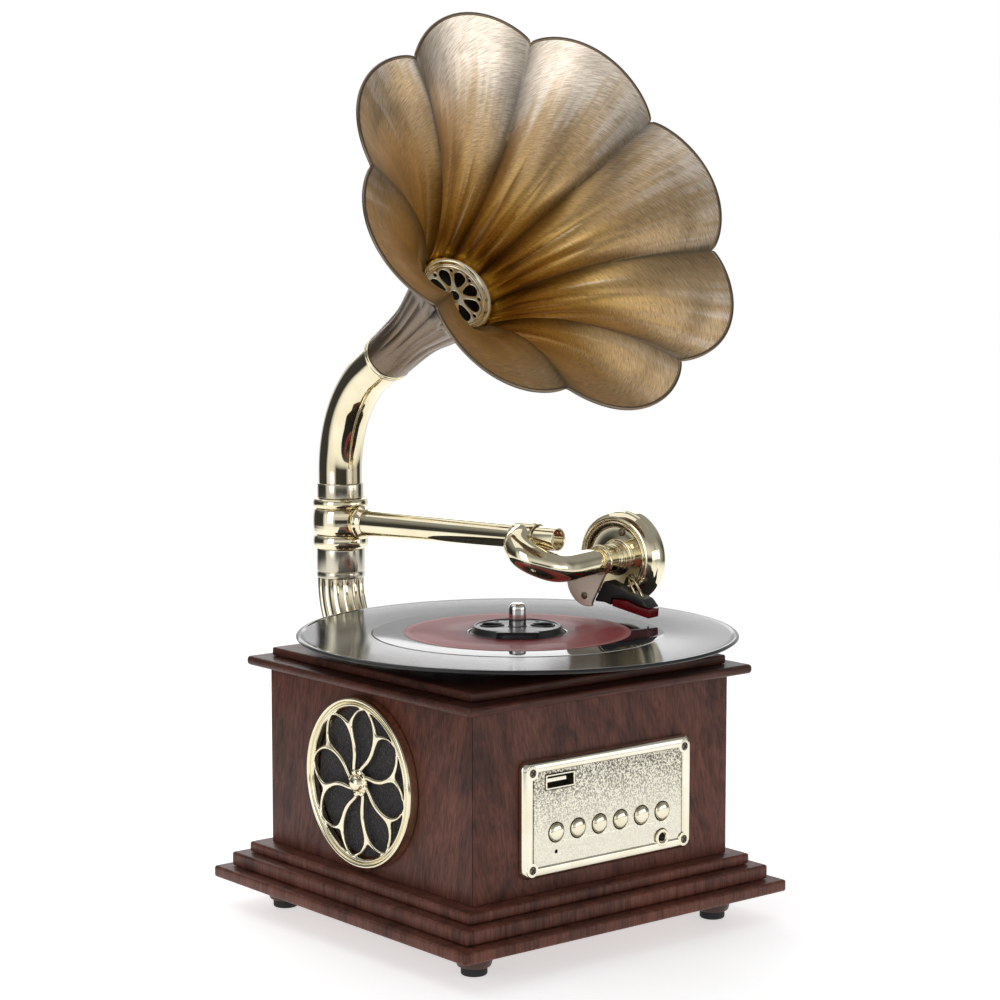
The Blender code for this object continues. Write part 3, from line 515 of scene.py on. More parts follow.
def lathe(name, profile, place, mat, body, *nodes, steps=96, ring=False, fillet=0.3):
    """A body of revolution about local Z, with rounded corners; a ring is open along its axis."""
    rings = []
    for r, z in rounded(profile, fillet, ring):
        on_axis = r < 1e-6
        rings.append([(0, 0, z)] if on_axis else [(x, y, z) for x, y in circle(r, steps=steps)])
    return add(name, loft(name, rings, place, wrap=ring), mat, body, *nodes)


def catmull(points, samples):
    """Dense points along a smooth curve through the given ones."""
    ends = [points[0]] + list(points) + [points[-1]]
    out = []
    for p0, p1, p2, p3 in zip(ends, ends[1:], ends[2:], ends[3:]):
        for step in range(samples):
            t = step / samples
            out.append(tuple(
                0.5 * (2 * b + (c - a) * t + (2 * a - 5 * b + 4 * c - d) * t * t
                       + (3 * b - a - 3 * c + d) * t ** 3)
                for a, b, c, d in zip(p0, p1, p2, p3)))
    out.append(tuple(points[-1]))
    return out


def sweep_rings(path, radius, steps):
    """Rings of points round a path, without twist. radius(k, angle) gives each point's distance."""
    points = [Vector(p) for p in path]
    tangents = []
    for k in range(len(points)):
        ahead = points[min(k + 1, len(points) - 1)] - points[max(k - 1, 0)]
        tangents.append(ahead.normalized())
    side = tangents[0].orthogonal().normalized()
    rings = []
    for k, (point, tangent) in enumerate(zip(points, tangents)):
        side = (side - tangent * side.dot(tangent)).normalized()
        up = tangent.cross(side)
        ring = []
        for n in range(steps):
            angle = TAU * n / steps
            ring.append(point + (side * math.cos(angle) + up * math.sin(angle)) * radius(k, angle))
        rings.append(ring)
    return rings


def tube(name, path, outer, inner, place, mat, body, *nodes, steps=48):
    """A bent pipe with a wall, open at both ends, or solid where inner is None."""
    rings = sweep_rings(path, outer, steps)
    if inner is None:
        return add(name, loft(name, rings, place, caps=(True, True)), mat, body, *nodes)
    bore = sweep_rings(path, inner, steps)
    return add(name, loft(name, rings + bore[::-1], place, wrap=True), mat, body, *nodes)


def brick(name, size, centre, place, mat, body, *nodes, bevel=0.6, segments=3):
    """A box with rounded edges."""
    bm = bmesh.new()
    bmesh.ops.create_cube(bm, size=1.0, matrix=Matrix.Diagonal([v * MM for v in size]).to_4x4())
    bmesh.ops.bevel(bm, geom=bm.edges[:], offset=bevel * MM, segments=segments, profile=0.5, affect="EDGES")
    bmesh.ops.transform(bm, matrix=place @ shift(*centre), verts=bm.verts)
    return add(name, from_bmesh(name, bm), mat, body, *nodes)


def plate(name, outlines, low, high, place, mat, body, *nodes, bevel=0.3, segments=2):
    """A flat plate between two heights, with holes where outlines lie inside the first one."""
    curve = bpy.data.curves.new(name, "CURVE")
    curve.dimensions = "2D"
    curve.fill_mode = "BOTH"
    curve.extrude = ((high - low) / 2 - bevel) * MM
    curve.bevel_depth = bevel * MM
    curve.bevel_resolution = segments
    curve.offset = -bevel * MM
    for outline in outlines:
        spline = curve.splines.new("POLY")
        spline.points.add(len(outline) - 1)
        for point, (x, y) in zip(spline.points, outline):
            point.co = (x * MM, y * MM, 0, 1)
        spline.use_cyclic_u = True
    guide = bpy.data.objects.new(name + "_outline", curve)
    bpy.context.scene.collection.objects.link(guide)
    graph = bpy.context.evaluated_depsgraph_get()
    mesh = bpy.data.meshes.new_from_object(guide.evaluated_get(graph))
    bpy.data.objects.remove(guide)
    bm = bmesh.new()
    bm.from_mesh(mesh)
    bmesh.ops.remove_doubles(bm, verts=bm.verts, dist=0.00001)
    bmesh.ops.transform(bm, matrix=place @ shift(0, 0, (low + high) / 2), verts=bm.verts)
    bm.to_mesh(mesh)
    bm.free()
    return add(name, mesh, mat, body, *nodes)


def circle(radius, centre=(0, 0), steps=48):
    angles = [TAU * k / steps for k in range(steps)]
    return [(centre[0] + radius * math.cos(a), centre[1] + radius * math.sin(a)) for a in angles]


def rounded_rect(width, height, radius, centre=(0, 0), samples=6):
    """An outline with round corners, the same number of points whatever its size."""
    out = []
    for index, (sx, sy) in enumerate(((1, 1), (-1, 1), (-1, -1), (1, -1))):
        for k in range(samples + 1):
            angle = math.radians(90 * index + 90 * k / samples)
            out.append((centre[0] + sx * (width / 2 - radius) + radius * math.cos(angle),
                        centre[1] + sy * (height / 2 - radius) + radius * math.sin(angle)))
    return out


def along_arm(a, t, drop):
    """Frame of a turned piece that stands across the arm: its +Z points back towards the hub side."""
    return LINE @ shift(a, t, drop) @ turn(90, "X")


# --- case ---------------------------------------------------------------------
def board(name, half, low, high, mat, **edges):
    """A square board between two heights."""
    size = (2 * half, 2 * half, high - low)
    return brick("look_" + name, size, (0, 0, (high + low) / 2), MODEL, mat, "case", name, **edges)


def make_case(mats):
    z = FOOT_H
    for name, overhang, thickness in PLINTH:
        board(name, CASE_HALF + overhang, z + GAP / 2, z + thickness, mats["plinth"], bevel=1.1)
        z += thickness
    make_walls(mats)
    edge = SEAM / 2
    top = board("top_board", CASE_HALF + TOP_OVERHANG, CASE_TOP_Z + edge, TOP_Z - edge, mats["top"],
                bevel=1.5, segments=4)
    deck = board("deck_board", CASE_HALF - GAP, TOP_Z + edge, DECK_Z - edge, mats["top"], bevel=0.9)
    motor = (RECORD_AT[0] - MOTOR_OFFSET / math.sqrt(2), RECORD_AT[1] + MOTOR_OFFSET / math.sqrt(2))
    for piece, motor_hole, shaft_hole in ((top, 15.3, 6.0), (deck, 3.0, 5.3)):
        for centre, radius in ((motor, motor_hole), (RECORD_AT, shaft_hole)):
            cut(piece, MODEL @ shift(0, 0, TOP_Z), circle(radius, centre))
    make_feet(mats)


def make_feet(mats):
    """A brown disc with a rubber pad under it, at each corner."""
    disc = [(0, 11.3), (7.0, 11.3), (7.0, 5.6), (6.4, 3.6), (5.8, 3.2), (0, 3.2)]
    pad = [(0, 3.4), (5.0, 3.4), (5.0, 0.5), (4.5, 0), (3.2, 0), (2.8, 0.8), (0, 0.8)]
    for end, sy in (("front", -1), ("back", 1)):
        for side, sx in (("left", -1), ("right", 1)):
            name = f"foot_{end}_{side}"
            place = MODEL @ shift(sx * FOOT_AT, sy * FOOT_AT)
            lathe("look_" + name, disc, place, mats["foot"], "case", name, fillet=0.8)
            lathe(name + "_pad", pad, place, mats["rubber"], "case", fillet=0.4)


def cut(obj, place, outline):
    """Cut an outline through a board, 40 mm deep about the outline's plane."""
    rings = [[(x, y, z) for x, y in outline] for z in (-20.0, 20.0)]
    cutter = bpy.data.objects.new("cutter", loft("cutter", rings, place, caps=(True, True)))
    bpy.context.scene.collection.objects.link(cutter)
    mod = obj.modifiers.new("hole", "BOOLEAN")
    mod.object = cutter
    mod.solver = "EXACT"
    graph = bpy.context.evaluated_depsgraph_get()
    mesh = bpy.data.meshes.new_from_object(obj.evaluated_get(graph))
    obj.modifiers.remove(mod)
    obj.data = mesh
    bpy.data.objects.remove(cutter)


def make_walls(mats):
    """Four mitred walls; the front one is open behind the panel and the back one at the inlet."""
    mitre = 0.12
    outer = CASE_HALF
    inner = CASE_HALF - WALL_T
    outline = [(-outer + mitre, -outer), (outer - mitre, -outer), (inner - mitre, -inner),
               (-inner + mitre, -inner)]
    walls = {}
    for name, degrees in (("front_wall", 0), ("right_wall", 90), ("back_wall", 180), ("left_wall", 270)):
        walls[name] = plate("look_" + name, [outline], PLINTH_Z + SEAM, CASE_TOP_Z - SEAM,
                            MODEL @ turn(degrees, "Z"), mats["wall"], "case", name, bevel=0.25)
    cut(walls["front_wall"], FRONT, rounded_rect(72.0, 35.0, 1.0))
    cut(walls["back_wall"], BACK @ shift(INLET_AT[0], -INLET_AT[1]), circle(5.8))


def make_rear(mats):
    """Bracket plate with its screws, and the power inlet."""
    outlines = [rounded_rect(30, 44, 3.0, (0, -76.2)), circle(7.3, (0, -87.7))]
    plate("look_bracket_plate", outlines, 0.1, 3.3, BACK, mats["gold"], "case", "bracket_plate", bevel=0.7)
    for x, z in ((-11, 58), (11, 58), (-11, 94), (11, 94)):
        screw(f"bracket_screw_{x}_{z}", BACK @ shift(x, -z, 3.2), 2.4, mats["steel"], mats["cone"])
    inlet = [(0, 1.2), (1.0, 1.2), (1.2, 0.9), (1.2, -6.0), (2.9, -6.0), (2.9, 1.2), (5.0, 1.4), (7.0, 1.3),
             (7.0, 0.3), (5.5, 0.1), (5.5, -9.0), (0, -9.0)]
    place = BACK @ shift(INLET_AT[0], -INLET_AT[1])
    lathe("look_power_inlet", inlet, place, mats["black"], "case", "power_inlet", fillet=0.25)


def screw(name, place, radius, mat, dark):
    """A domed screw head whose cross slot is drawn as dark bars: painted shade in the slot."""
    dome = [(0, 0.9), (radius * 0.5, 0.82), (radius * 0.85, 0.5), (radius, 0.1), (radius, -0.6), (0, -0.6)]
    lathe(name, dome, place, mat, "case", steps=32, fillet=0.2)
    # painted shade: the cross slot is two dark bars on the dome, not a cut recess
    bar = (radius * 1.3, radius * 0.28, 0.3)
    for k in range(2):
        brick(f"{name}_slot_{k}", bar, (0, 0, 0.84), place @ turn(45 + 90 * k, "Z"), dark, "case",
              bevel=0.05, segments=1)


# --- front panel --------------------------------------------------------------
def make_panel(mats):
    """Hammered field with holes for the buttons, sockets and pin hole, in a raised border."""
    buttons = [(BUTTON_LEFT + BUTTON_PITCH * k, BUTTON_Z - PANEL_Z) for k in range(BUTTONS)]
    outlines = [rounded_rect(75.3, 37.5, 1.2)]
    outlines += [circle(3.95, centre, 40) for centre in buttons]
    outlines.append(circle(3.65, AUX_AT, 40))
    outlines.append(rounded_rect(14.9, 6.2, 0.5, USB_AT))
    outlines.append(circle(0.7, (BUTTON_LEFT, PIN_HOLE_Z - PANEL_Z), 20))
    plate("look_control_panel", outlines, 0.1, 2.9, FRONT, mats["panel"], "case", "control_panel", bevel=0.2)

    section = [(0.0, 0.1), (0.0, 1.9), (1.0, 3.1), (2.4, 3.5), (3.9, 3.5), (4.5, 3.1), (4.8, 2.6),
               (4.8, 0.1)]
    rings = []
    for inset, height in rounded(section, 0.5, True):
        size = [length - 2 * inset for length in PANEL_SIZE]
        rings.append([(x, y, height) for x, y in rounded_rect(*size, max(3.4 - inset * 0.55, 0.8))])
    add("panel_border", loft("panel_border", rings, FRONT, wrap=True), mats["border"], "case")
    washer = [(1.2, 0.5), (2.7, 0.45), (2.9, 0.1), (2.9, -0.6), (1.2, -0.6)]
    for index, (x, z) in enumerate(((-38.6, 73.7), (38.6, 73.7), (-38.6, 36.8), (38.6, 36.8))):
        at = FRONT @ shift(x, z - PANEL_Z, 3.0)
        lathe(f"panel_washer_{index}", washer, at, mats["border"], "case", steps=40, ring=True, fillet=0.15)
        screw(f"panel_screw_{index}", at @ shift(0, 0, 0.05), 1.9, mats["screw"], mats["cone"])

    dome = [(0, 0.90), (1.4, 0.84), (2.4, 0.62), (3.0, 0.34), (3.4, -0.1), (3.55, -0.7), (3.55, -2.0),
            (2.2, -2.0), (2.2, -8.4), (0, -8.4)]
    # painted shade: a black lining in the gap round each button stands in for the shade there
    gap_shade = [(3.68, 0.4), (3.68, 2.55), (4.05, 2.55), (4.05, 0.4)]
    for number, (x, z) in enumerate(buttons, 1):
        lathe(f"look_button_{number}", dome, FRONT @ shift(x, z, 3.3), mats["button"],
              f"button_{number}_body", f"button_{number}", steps=56, fillet=0.4)
        lathe(f"button_gap_shade_{number}", gap_shade, FRONT @ shift(x, z), mats["cone"], "case", steps=56, ring=True,
              fillet=0.05)
    make_usb(mats, FRONT @ shift(*USB_AT))
    jack = [(0, -7.0), (1.75, -7.0), (1.75, 0.4), (2.3, 1.0), (3.35, 0.9), (3.35, -8.6), (0, -8.6)]
    hole = [(0, -2.2), (1.7, -2.2), (1.7, -3.0), (0, -3.0)]
    at = FRONT @ shift(*AUX_AT, 2.7)
    lathe("look_aux_jack", jack, at, mats["button"], "case", "aux_jack", steps=56, fillet=0.2)
    lathe("aux_hole", hole, at, mats["cone"], "case", steps=32, fillet=0.1)


def make_usb(mats, place):
    """Socket with a thin metal shell, a dark inside and a pale tongue."""
    plate("look_usb_socket", [rounded_rect(14.3, 5.6, 0.5), rounded_rect(13.1, 4.4, 0.3)], -6.0, 3.2, place,
          mats["border"], "case", "usb_socket", bevel=0.15, segments=2)
    brick("usb_inside", (13.4, 4.8, 1.0), (0, 0, -5.4), place, mats["cone"], "case", bevel=0.1, segments=1)
    brick("usb_tongue", (9.6, 1.5, 7.2), (-0.6, 0.3, -2.0), place, mats["border"], "case", bevel=0.2)


# --- side grilles -------------------------------------------------------------
SPOKES = 8
SPOKE_BASE = -13.0            # degrees from the top
SPOKE_HALF = 0.9
SPOKE_STEM = ((4.2, -30.0), (7.2, -10.0), (10.6, 1.0), (15.0, 3.0), (19.2, 0.5))   # radius, degrees
SPOKE_LEFT = ((22.8, -3.6), (25.8, -9.0), (28.0, -15.0), (29.2, -20.0))
SPOKE_RIGHT = ((22.8, 0.6), (25.8, 6.0), (28.0, 12.6), (29.2, 19.0))


def grille_point(radius, degrees):
    """A point on the grille, with its angle from the top, clockwise as seen from outside."""
    angle = math.radians(degrees)
    return (radius * math.sin(angle), radius * math.cos(angle))


def spoke_edge(stations, base, width):
    """One edge of a spoke: its centre line moved sideways by width."""
    return [grille_point(r, base + angle + math.degrees(width / r)) for r, angle in stations]


def chaikin(points, times=2):
    """A closed outline with its corners cut until it looks round."""
    for _ in range(times):
        out = []
        for a, b in zip(points, points[1:] + points[:1]):
            out.append(tuple(p * 0.75 + q * 0.25 for p, q in zip(a, b)))
            out.append(tuple(p * 0.25 + q * 0.75 for p, q in zip(a, b)))
        points = out
    return points


def make_grille(side, sign, mats):
    """Forked curved spokes in a ring: a window between two spokes, and one inside each fork."""
    place = MODEL @ shift(sign * CASE_HALF, 1.0, 62.4) @ turn(sign * 90, "Z") @ turn(90, "X")
    pitch = 360 / SPOKES
    outlines = [circle(30.6, steps=96)]
    for index in range(SPOKES):
        base = SPOKE_BASE + pitch * index
        right = spoke_edge(SPOKE_STEM + SPOKE_RIGHT, base, SPOKE_HALF)
        left = spoke_edge(SPOKE_STEM + SPOKE_LEFT, base + pitch, -SPOKE_HALF)
        outlines.append(chaikin(right + left[::-1]))
        crotch = [grille_point(23.6, base - 1.8)]
        out = spoke_edge(SPOKE_LEFT[1:], base, SPOKE_HALF)
        rim = [grille_point(29.8, base - 9.0), grille_point(29.8, base + 8.0)]
        back = spoke_edge(SPOKE_RIGHT[1:], base, -SPOKE_HALF)[::-1]
        outlines.append(chaikin(crotch + out + rim + back))
    gold_cast = mats["grille"]
    plate(f"look_{side}_grille", outlines, 2.4, 4.0, place, gold_cast, "case", f"{side}_grille", bevel=0.6,
          segments=3)
    ring = [(29.6, 0.3), (29.6, 3.8), (30.0, 4.3), (30.5, 4.3), (30.8, 3.5), (31.3, 3.3), (31.6, 4.3),
            (32.2, 4.7), (32.9, 4.6), (33.4, 3.9), (33.5, 3.0), (33.5, 0.3)]
    lathe(f"{side}_grille_ring", ring, place, gold_cast, "case", steps=144, ring=True, fillet=0.3)
    boss = [(0, 6.9), (1.2, 6.75), (2.3, 6.2), (3.0, 5.4), (3.3, 4.5), (3.5, 4.1), (4.6, 3.9), (5.2, 3.4),
            (5.2, 2.6), (0, 2.6)]
    lathe(f"{side}_grille_boss", boss, place, gold_cast, "case", steps=72, fillet=0.4)
    bump = [(0, 1.2), (0.7, 1.05), (1.2, 0.6), (1.4, 0), (0, 0)]
    for index in range(SPOKES):
        at = place @ shift(*grille_point(4.5, SPOKE_BASE + pitch * index - 18.0), 3.4)
        lathe(f"{side}_grille_bump_{index}", bump, at, gold_cast, "case", steps=24, fillet=0.2)


# --- turntable ----------------------------------------------------------------
def make_turntable(mats):
    body = "platter_body"
    platter = [(0, 112.0), (55.2, 112.0), (56.0, 111.2), (56.0, 110.0), (34.0, 110.0), (34.0, 107.3),
               (31.0, 107.3), (31.0, 110.0), (7.0, 110.0), (2.2, 109.4), (2.2, 92.6), (0, 92.6)]
    lathe("look_platter", platter, PLATTER, mats["black"], body, "platter", steps=128)
    mat = [(0, 113.5), (55, 113.5), (55, 112.3), (0, 112.3)]
    lathe("look_slip_mat", mat, PLATTER, mats["belt"], body, "slip_mat", steps=128)
    disc = [(19.3, -RECORD_T), (19.3, 0), (LABEL_R, 0), (57.2, 0), (57.8, -0.18), (84.6, -0.18), (85.6, 0),
            (86.6, 0), (87.5, -0.6), (87.5, -1.0), (86.6, -RECORD_T)]
    top = PLATTER @ shift(0, 0, RECORD_Z)
    lathe("look_record", disc, top, mats["vinyl"], body, "record", steps=256, ring=True, fillet=0.25)
    label = [(20.0, -0.05), (20.0, 0.12), (LABEL_R, 0.12), (LABEL_R, -0.05)]
    lathe("record_label", label, top, mats["label"], body, steps=192, ring=True, fillet=0.05)
    make_adapter(mats)
    spindle = [(0, 11.6), (1.8, 11.5), (2.7, 11.1), (3.2, 10.5), (3.45, 9.6), (3.45, -RECORD_T),
               (0, -RECORD_T)]
    lathe("look_spindle", spindle, top, mats["chrome"], body, "spindle", steps=64, fillet=0.5)


def make_adapter(mats):
    """Large-hole adapter: two drop-shaped windows, two small holes and a slot in its near side."""
    base = RECORD_Z - RECORD_T
    body = "platter_body"
    black = mats["black"]
    skirt = [(16.4, base), (16.4, 117.6), (16.8, 118.0), (17.3, 117.9), (17.7, 117.2), (18.4, 115.5),
             (19.0, 115.1), (19.0, base)]
    lathe("look_record_adapter", skirt, PLATTER, black, body, "record_adapter", steps=128, ring=True,
          fillet=0.2)
    floor = [(3.6, base), (3.6, 114.6), (16.6, 114.6), (16.6, base)]
    lathe("adapter_floor", floor, PLATTER, mats["cone"], body, steps=96, ring=True, fillet=0.1)
    facing = PLATTER @ turn(VIEW_AZIMUTH, "Z")
    drop = [(5.2, 1.6), (8.4, -1.4), (12.0, -2.6), (14.4, -0.6), (14.6, 3.2), (12.6, 5.6), (9.0, 5.2),
            (6.2, 3.6)]
    windows = {side: chaikin([(side * x, y) for x, y in drop]) for side in (-1, 1)}
    outlines = [circle(16.7, steps=128), circle(3.75, steps=40)]
    for side, window in windows.items():
        outlines += [window, circle(0.7, (side * 8.0, 11.0), 20)]
    plate("adapter_top", outlines, 115.9, 117.6, facing, black, body, bevel=0.3, segments=2)
    for side, window in windows.items():
        lip = loft("adapter_lip", rim_rings(window, 117.7, 0.45), facing, wrap=True)
        add(f"adapter_lip_{side + 1}", lip, black, body)
    near = facing @ shift(0, -17.2, 116.4) @ turn(90, "X")
    slot = [rounded_rect(17.0, 3.2, 0.5), rounded_rect(15.6, 2.0, 0.3)]
    plate("adapter_slot", slot, -0.9, 0.9, near, black, body, bevel=0.2, segments=2)
    brick("adapter_slot_back", (15.4, 1.9, 0.4), (0, 0, -0.2), near, mats["cone"], body, bevel=0.05,
          segments=1)


def rim_rings(outline, height, radius):
    """Rings of a round bead that follows a closed outline at one height."""
    rings = []
    for k, (x, y) in enumerate(outline):
        before, after = Vector(outline[k - 1]), Vector(outline[(k + 1) % len(outline)])
        way = (after - before).normalized()
        rings.append([(x - way.y * u, y + way.x * u, height + v) for u, v in circle(radius, steps=8)])
    return rings


# --- post ---------------------------------------------------------------------
def bead(low, high, waist):
    """A ring with a bulging outside."""
    profile = [(POST_BORE_R, low), (POST_BORE_R, high)]
    middle, half = (high + low) / 2, (high - low) / 2
    for k in range(13):
        angle = math.pi * k / 12
        bulge = (BEAD_R - waist) * math.sin(angle) ** 0.8
        profile.append((waist + bulge, middle + half * math.cos(angle)))
    return profile


def make_post(mats):
    path = [(0, 0, 124.4), (0, 0, 124.0)]
    for k in range(41):
        angle = math.radians(90.0 * k / 40)
        path.append((0, -BRACKET_BEND * (1 - math.cos(angle)), 123.6 - BRACKET_BEND * math.sin(angle)))
    path.append((0, -BRACKET_BEND - 0.7, 86.7))
    tube("look_post_bracket", path, lambda k, angle: 9.9 - 0.5 * abs(math.sin(10 * angle)) ** 0.6,
         lambda k, angle: 8.1, POST, mats["gold"], "case", "post_bracket", steps=240)

    sleeve, low_bead, barrel, high_bead, high_sleeve, top = LEVELS
    low = [(POST_BORE_R, sleeve), (POST_BORE_R, low_bead - 0.1), (10.0, low_bead - 0.1),
           (10.2, low_bead - 0.6),
           (10.2, 127.6), (9.9, 127.4), (9.9, 127.1), (10.2, 126.9), (10.2, sleeve + 0.3), (9.9, sleeve)]
    high = [(POST_BORE_R, high_sleeve), (POST_BORE_R, top - 0.1), (9.5, top - 0.1), (9.8, top - 0.5),
            (9.8, high_sleeve + 0.3), (9.6, high_sleeve)]
    for name, profile, key, body, fillet in (
            ("lower_sleeve", low, "satin", "case", 0.15),
            ("lower_bead", bead(low_bead, barrel - 0.15, 10.2), "gold", "case", 0.1),
            ("pivot_barrel", bead(barrel, high_bead - 0.15, 10.4), "gold", "arm", 0.1),
            ("upper_bead", bead(high_bead, high_sleeve - 0.1, 10.2), "gold", "horn_body", 0.1),
            ("upper_sleeve", high, "satin", "horn_body", 0.15)):
        lathe("look_" + name, profile, POST, mats[key], body, name, ring=True, fillet=fillet)


# --- tone arm and soundbox ----------------------------------------------------
def make_arm(mats):
    axis = LINE @ turn(90, "Y")
    flare = [(4.7, 9.0), (4.7, 16.1), (5.9, 16.1), (6.0, 15.2), (6.5, 14.0), (7.2, 13.0), (7.1, 12.2),
             (5.2, 11.9), (5.2, 9.0)]
    lathe("arm_flare", flare, axis, mats["gold"], "arm", ring=True, fillet=0.25)
    outer = [(5.85, 16.2), (5.72, 20.0), (4.75, 106.0), (4.62, 118.5)]
    inner = [(4.1, 118.5), (3.9, 117.9), (3.9, 106.0), (4.95, 16.2)]
    lathe("look_tonearm_tube", outer + inner, axis, mats["gold"], "arm", "tonearm_tube", ring=True,
          fillet=0.2)
    plug = [(0, 115.8), (4.0, 115.8), (4.0, 115.0), (0, 115.0)]
    lathe("arm_plug", plug, axis, mats["gold"], "arm", fillet=0.1)

    a, t, drop = SOUNDBOX
    loop = catmull([(102.4, -2.0, -0.6), (103.0, -5.4, -1.8), (104.6, -7.8, -3.2), (109.2, -9.8, -5.8),
                    (114.4, -8.2, -8.5), (118.0, -3.0, -10.9), (a, 4.5, -11.9), (a, 15.0, -11.6),
                    (a, t - 9.8, drop)], 8)
    count = len(loop) - 1
    tube("look_goose_neck", loop, lambda k, angle: 6.3 - 0.9 * k / count, None, LINE, mats["gold"],
         "soundbox", "goose_neck", steps=56)
    collar = [(5.0, -5.9), (5.0, 5.9), (5.6, 5.9), (6.1, 4.6), (6.1, -4.6), (5.6, -5.9)]
    lathe("neck_collar_ring", collar, axis @ shift(0, 0, 102.4), mats["gold"], "soundbox", ring=True,
          fillet=0.9)
    make_soundbox(mats, along_arm(a, t, drop))
    make_ear_plate(mats, along_arm(a, t - 8.9, drop))


def make_soundbox(mats, place):
    """Hub behind, sunk face with three screws in front, rolled rim around, and the wire clip."""
    hub = [(0, 9.7), (5.2, 9.7), (5.75, 9.3), (5.75, 8.5), (5.5, 8.2), (5.5, 2.9), (5.9, 2.7), (6.15, 2.3),
           (5.85, 1.95), (6.2, 1.6), (6.2, 0.4), (6.9, 0.0), (6.9, -1.0), (6.2, -1.5), (0, -1.5)]
    lathe("look_soundbox_hub", hub, place, mats["gold"], "soundbox", "soundbox_hub", fillet=0.25)
    face = [(0, -1.6), (6.6, -1.7), (7.4, -2.3), (12.6, -2.3), (13.3, -1.9), (13.8, -0.9), (14.6, -0.3),
            (15.2, -0.9), (15.2, -4.0), (0, -4.0)]
    lathe("look_soundbox_face", face, place, mats["gold"], "soundbox", "soundbox_face", steps=144,
          fillet=0.3)
    rim = [(0, -9.8), (13.6, -9.8), (13.6, -4.8), (15.3, -4.6), (15.3, -0.9), (15.8, -0.5), (16.8, -0.7),
           (18.2, -1.9), (18.9, -3.4), (19.1, -4.6), (19.35, -4.9), (19.55, -5.6), (19.55, -9.0),
           (19.2, -9.9), (17.8, -11.4), (16.8, -11.8), (0, -11.8)]
    lathe("look_soundbox_rim", rim, place, mats["gold"], "soundbox", "soundbox_rim", steps=160, fillet=0.5)
    clip = catmull([(7.8, -7.6, -1.2), (12.4, -8.4, 2.2), (16.8, -11.4, 4.8), (19.6, -15.4, 5.4),
                    (19.0, -16.2, 6.4), (15.4, -13.0, 5.8), (11.0, -9.8, 2.8), (7.6, -8.6, -1.2)], 8)
    tube("cartridge_clip", clip, lambda k, angle: 0.5, None, place, mats["gold"], "soundbox", steps=14)
    head = [(0, 1.0), (0.9, 1.0), (1.5, 0.7), (1.7, 0.1), (1.7, -0.5), (0, -0.5)]
    for index, degrees in enumerate((75, 195, 315)):
        angle = math.radians(degrees)
        at = place @ shift(11.0 * math.cos(angle), 11.0 * math.sin(angle), -2.3)
        lathe(f"soundbox_screw_{index}", head, at, mats["screw"], "soundbox", steps=32, fillet=0.2)


def make_ear_plate(mats, place):
    """Ear-shaped plate over the hub, with an eye and a small screw."""
    arc = [math.radians(degrees) for degrees in range(96, 281, 4)]
    outline = [(-6.1 + 10.6 * math.cos(v), -8.8 + 10.6 * math.sin(v)) for v in arc]
    outline += [(-4.1, -19.0), (-3.9, -17.8), (1.8, -7.6), (3.4, -5.0)]
    plate("look_ear_plate", [rounded(outline, 0.6, True)], -0.75, 0.75, place, mats["ear"], "soundbox",
          "ear_plate", bevel=0.3)
    eye = [(5.5, -0.75), (5.5, 0.75), (6.2, 0.75), (6.4, 0.4), (6.4, -0.4), (6.2, -0.75)]
    lathe("ear_plate_eye", eye, place, mats["gold"], "soundbox", ring=True, fillet=0.15)
    head = [(0, 0.7), (1.0, 0.65), (1.5, 0.4), (1.6, -0.2), (0, -0.2)]
    lathe("ear_plate_screw", head, place @ shift(-7.6, -15.0, 0.7), mats["screw"], "soundbox", steps=32,
          fillet=0.15)


def make_cartridge(mats):
    nose = [start + step for start, step in zip(SOUNDBOX, CARTRIDGE_NOSE)]
    place = along_arm(*nose)
    body = [(-27.4, 5.0), (-22.2, 13.8), (-13.0, 10.6), (-2.7, 7.6), (0.4, 4.1), (-5.0, 4.9), (-11.2, 6.9),
            (-18.5, 6.9), (-18.9, 3.9), (-22.2, 4.9)]
    plate("look_cartridge", [rounded(body, 0.9, True)], -3.7, 3.7, place, mats["black"], "soundbox",
          "cartridge", bevel=0.6, segments=3)
    holder = [(-18.5, 3.6), (-18.1, 6.5), (-11.3, 6.5), (-5.1, 4.5), (0.4, 3.7), (0.0, 0.0)]
    plate("look_needle_holder", [rounded(holder, 0.5, True)], -3.5, 3.5, place, mats["red"], "soundbox",
          "needle_holder", bevel=0.5, segments=3)
    needle = [(0, 0.6), (0.4, 0.6), (0.4, -0.3), (0.1, -1.0), (0, -1.0)]
    lathe("needle_tip", needle, LINE @ shift(nose[0] - 2.6, nose[1], nose[2] + 0.4), mats["steel"],
          "soundbox", steps=20, fillet=0.05)


# --- horn ---------------------------------------------------------------------
HORN_PROFILE = (
    (1.6, 9.9), (24.0, 10.9), (37.0, 13.5), (THROAT_AT, 18.0), (62.0, 20.5), (72.0, 24.9), (84.0, 31.4),
    (96.0, 39.5), (108.0, 50.8), (117.0, 62.4), (HORN_LENGTH, 75.7),
)
HORN_CURVE = catmull(HORN_PROFILE, 12)
PETALS = 8
PETAL_PHASE = math.radians(31.0)
PAINTED_LIGHT_SIDE = math.radians(165.0)   # painted light: the upper petals' side, where the pale tips are painted brighter


def crease_radius(distance):
    for (l0, r0), (l1, r1) in zip(HORN_CURVE, HORN_CURVE[1:]):
        if distance <= l1:
            return r0 + (r1 - r0) * (distance - l0) / (l1 - l0)
    return HORN_CURVE[-1][1]


def smooth_step(value, low, high):
    t = min(1.0, max(0.0, (value - low) / (high - low)))
    return t * t * (3 - 2 * t)


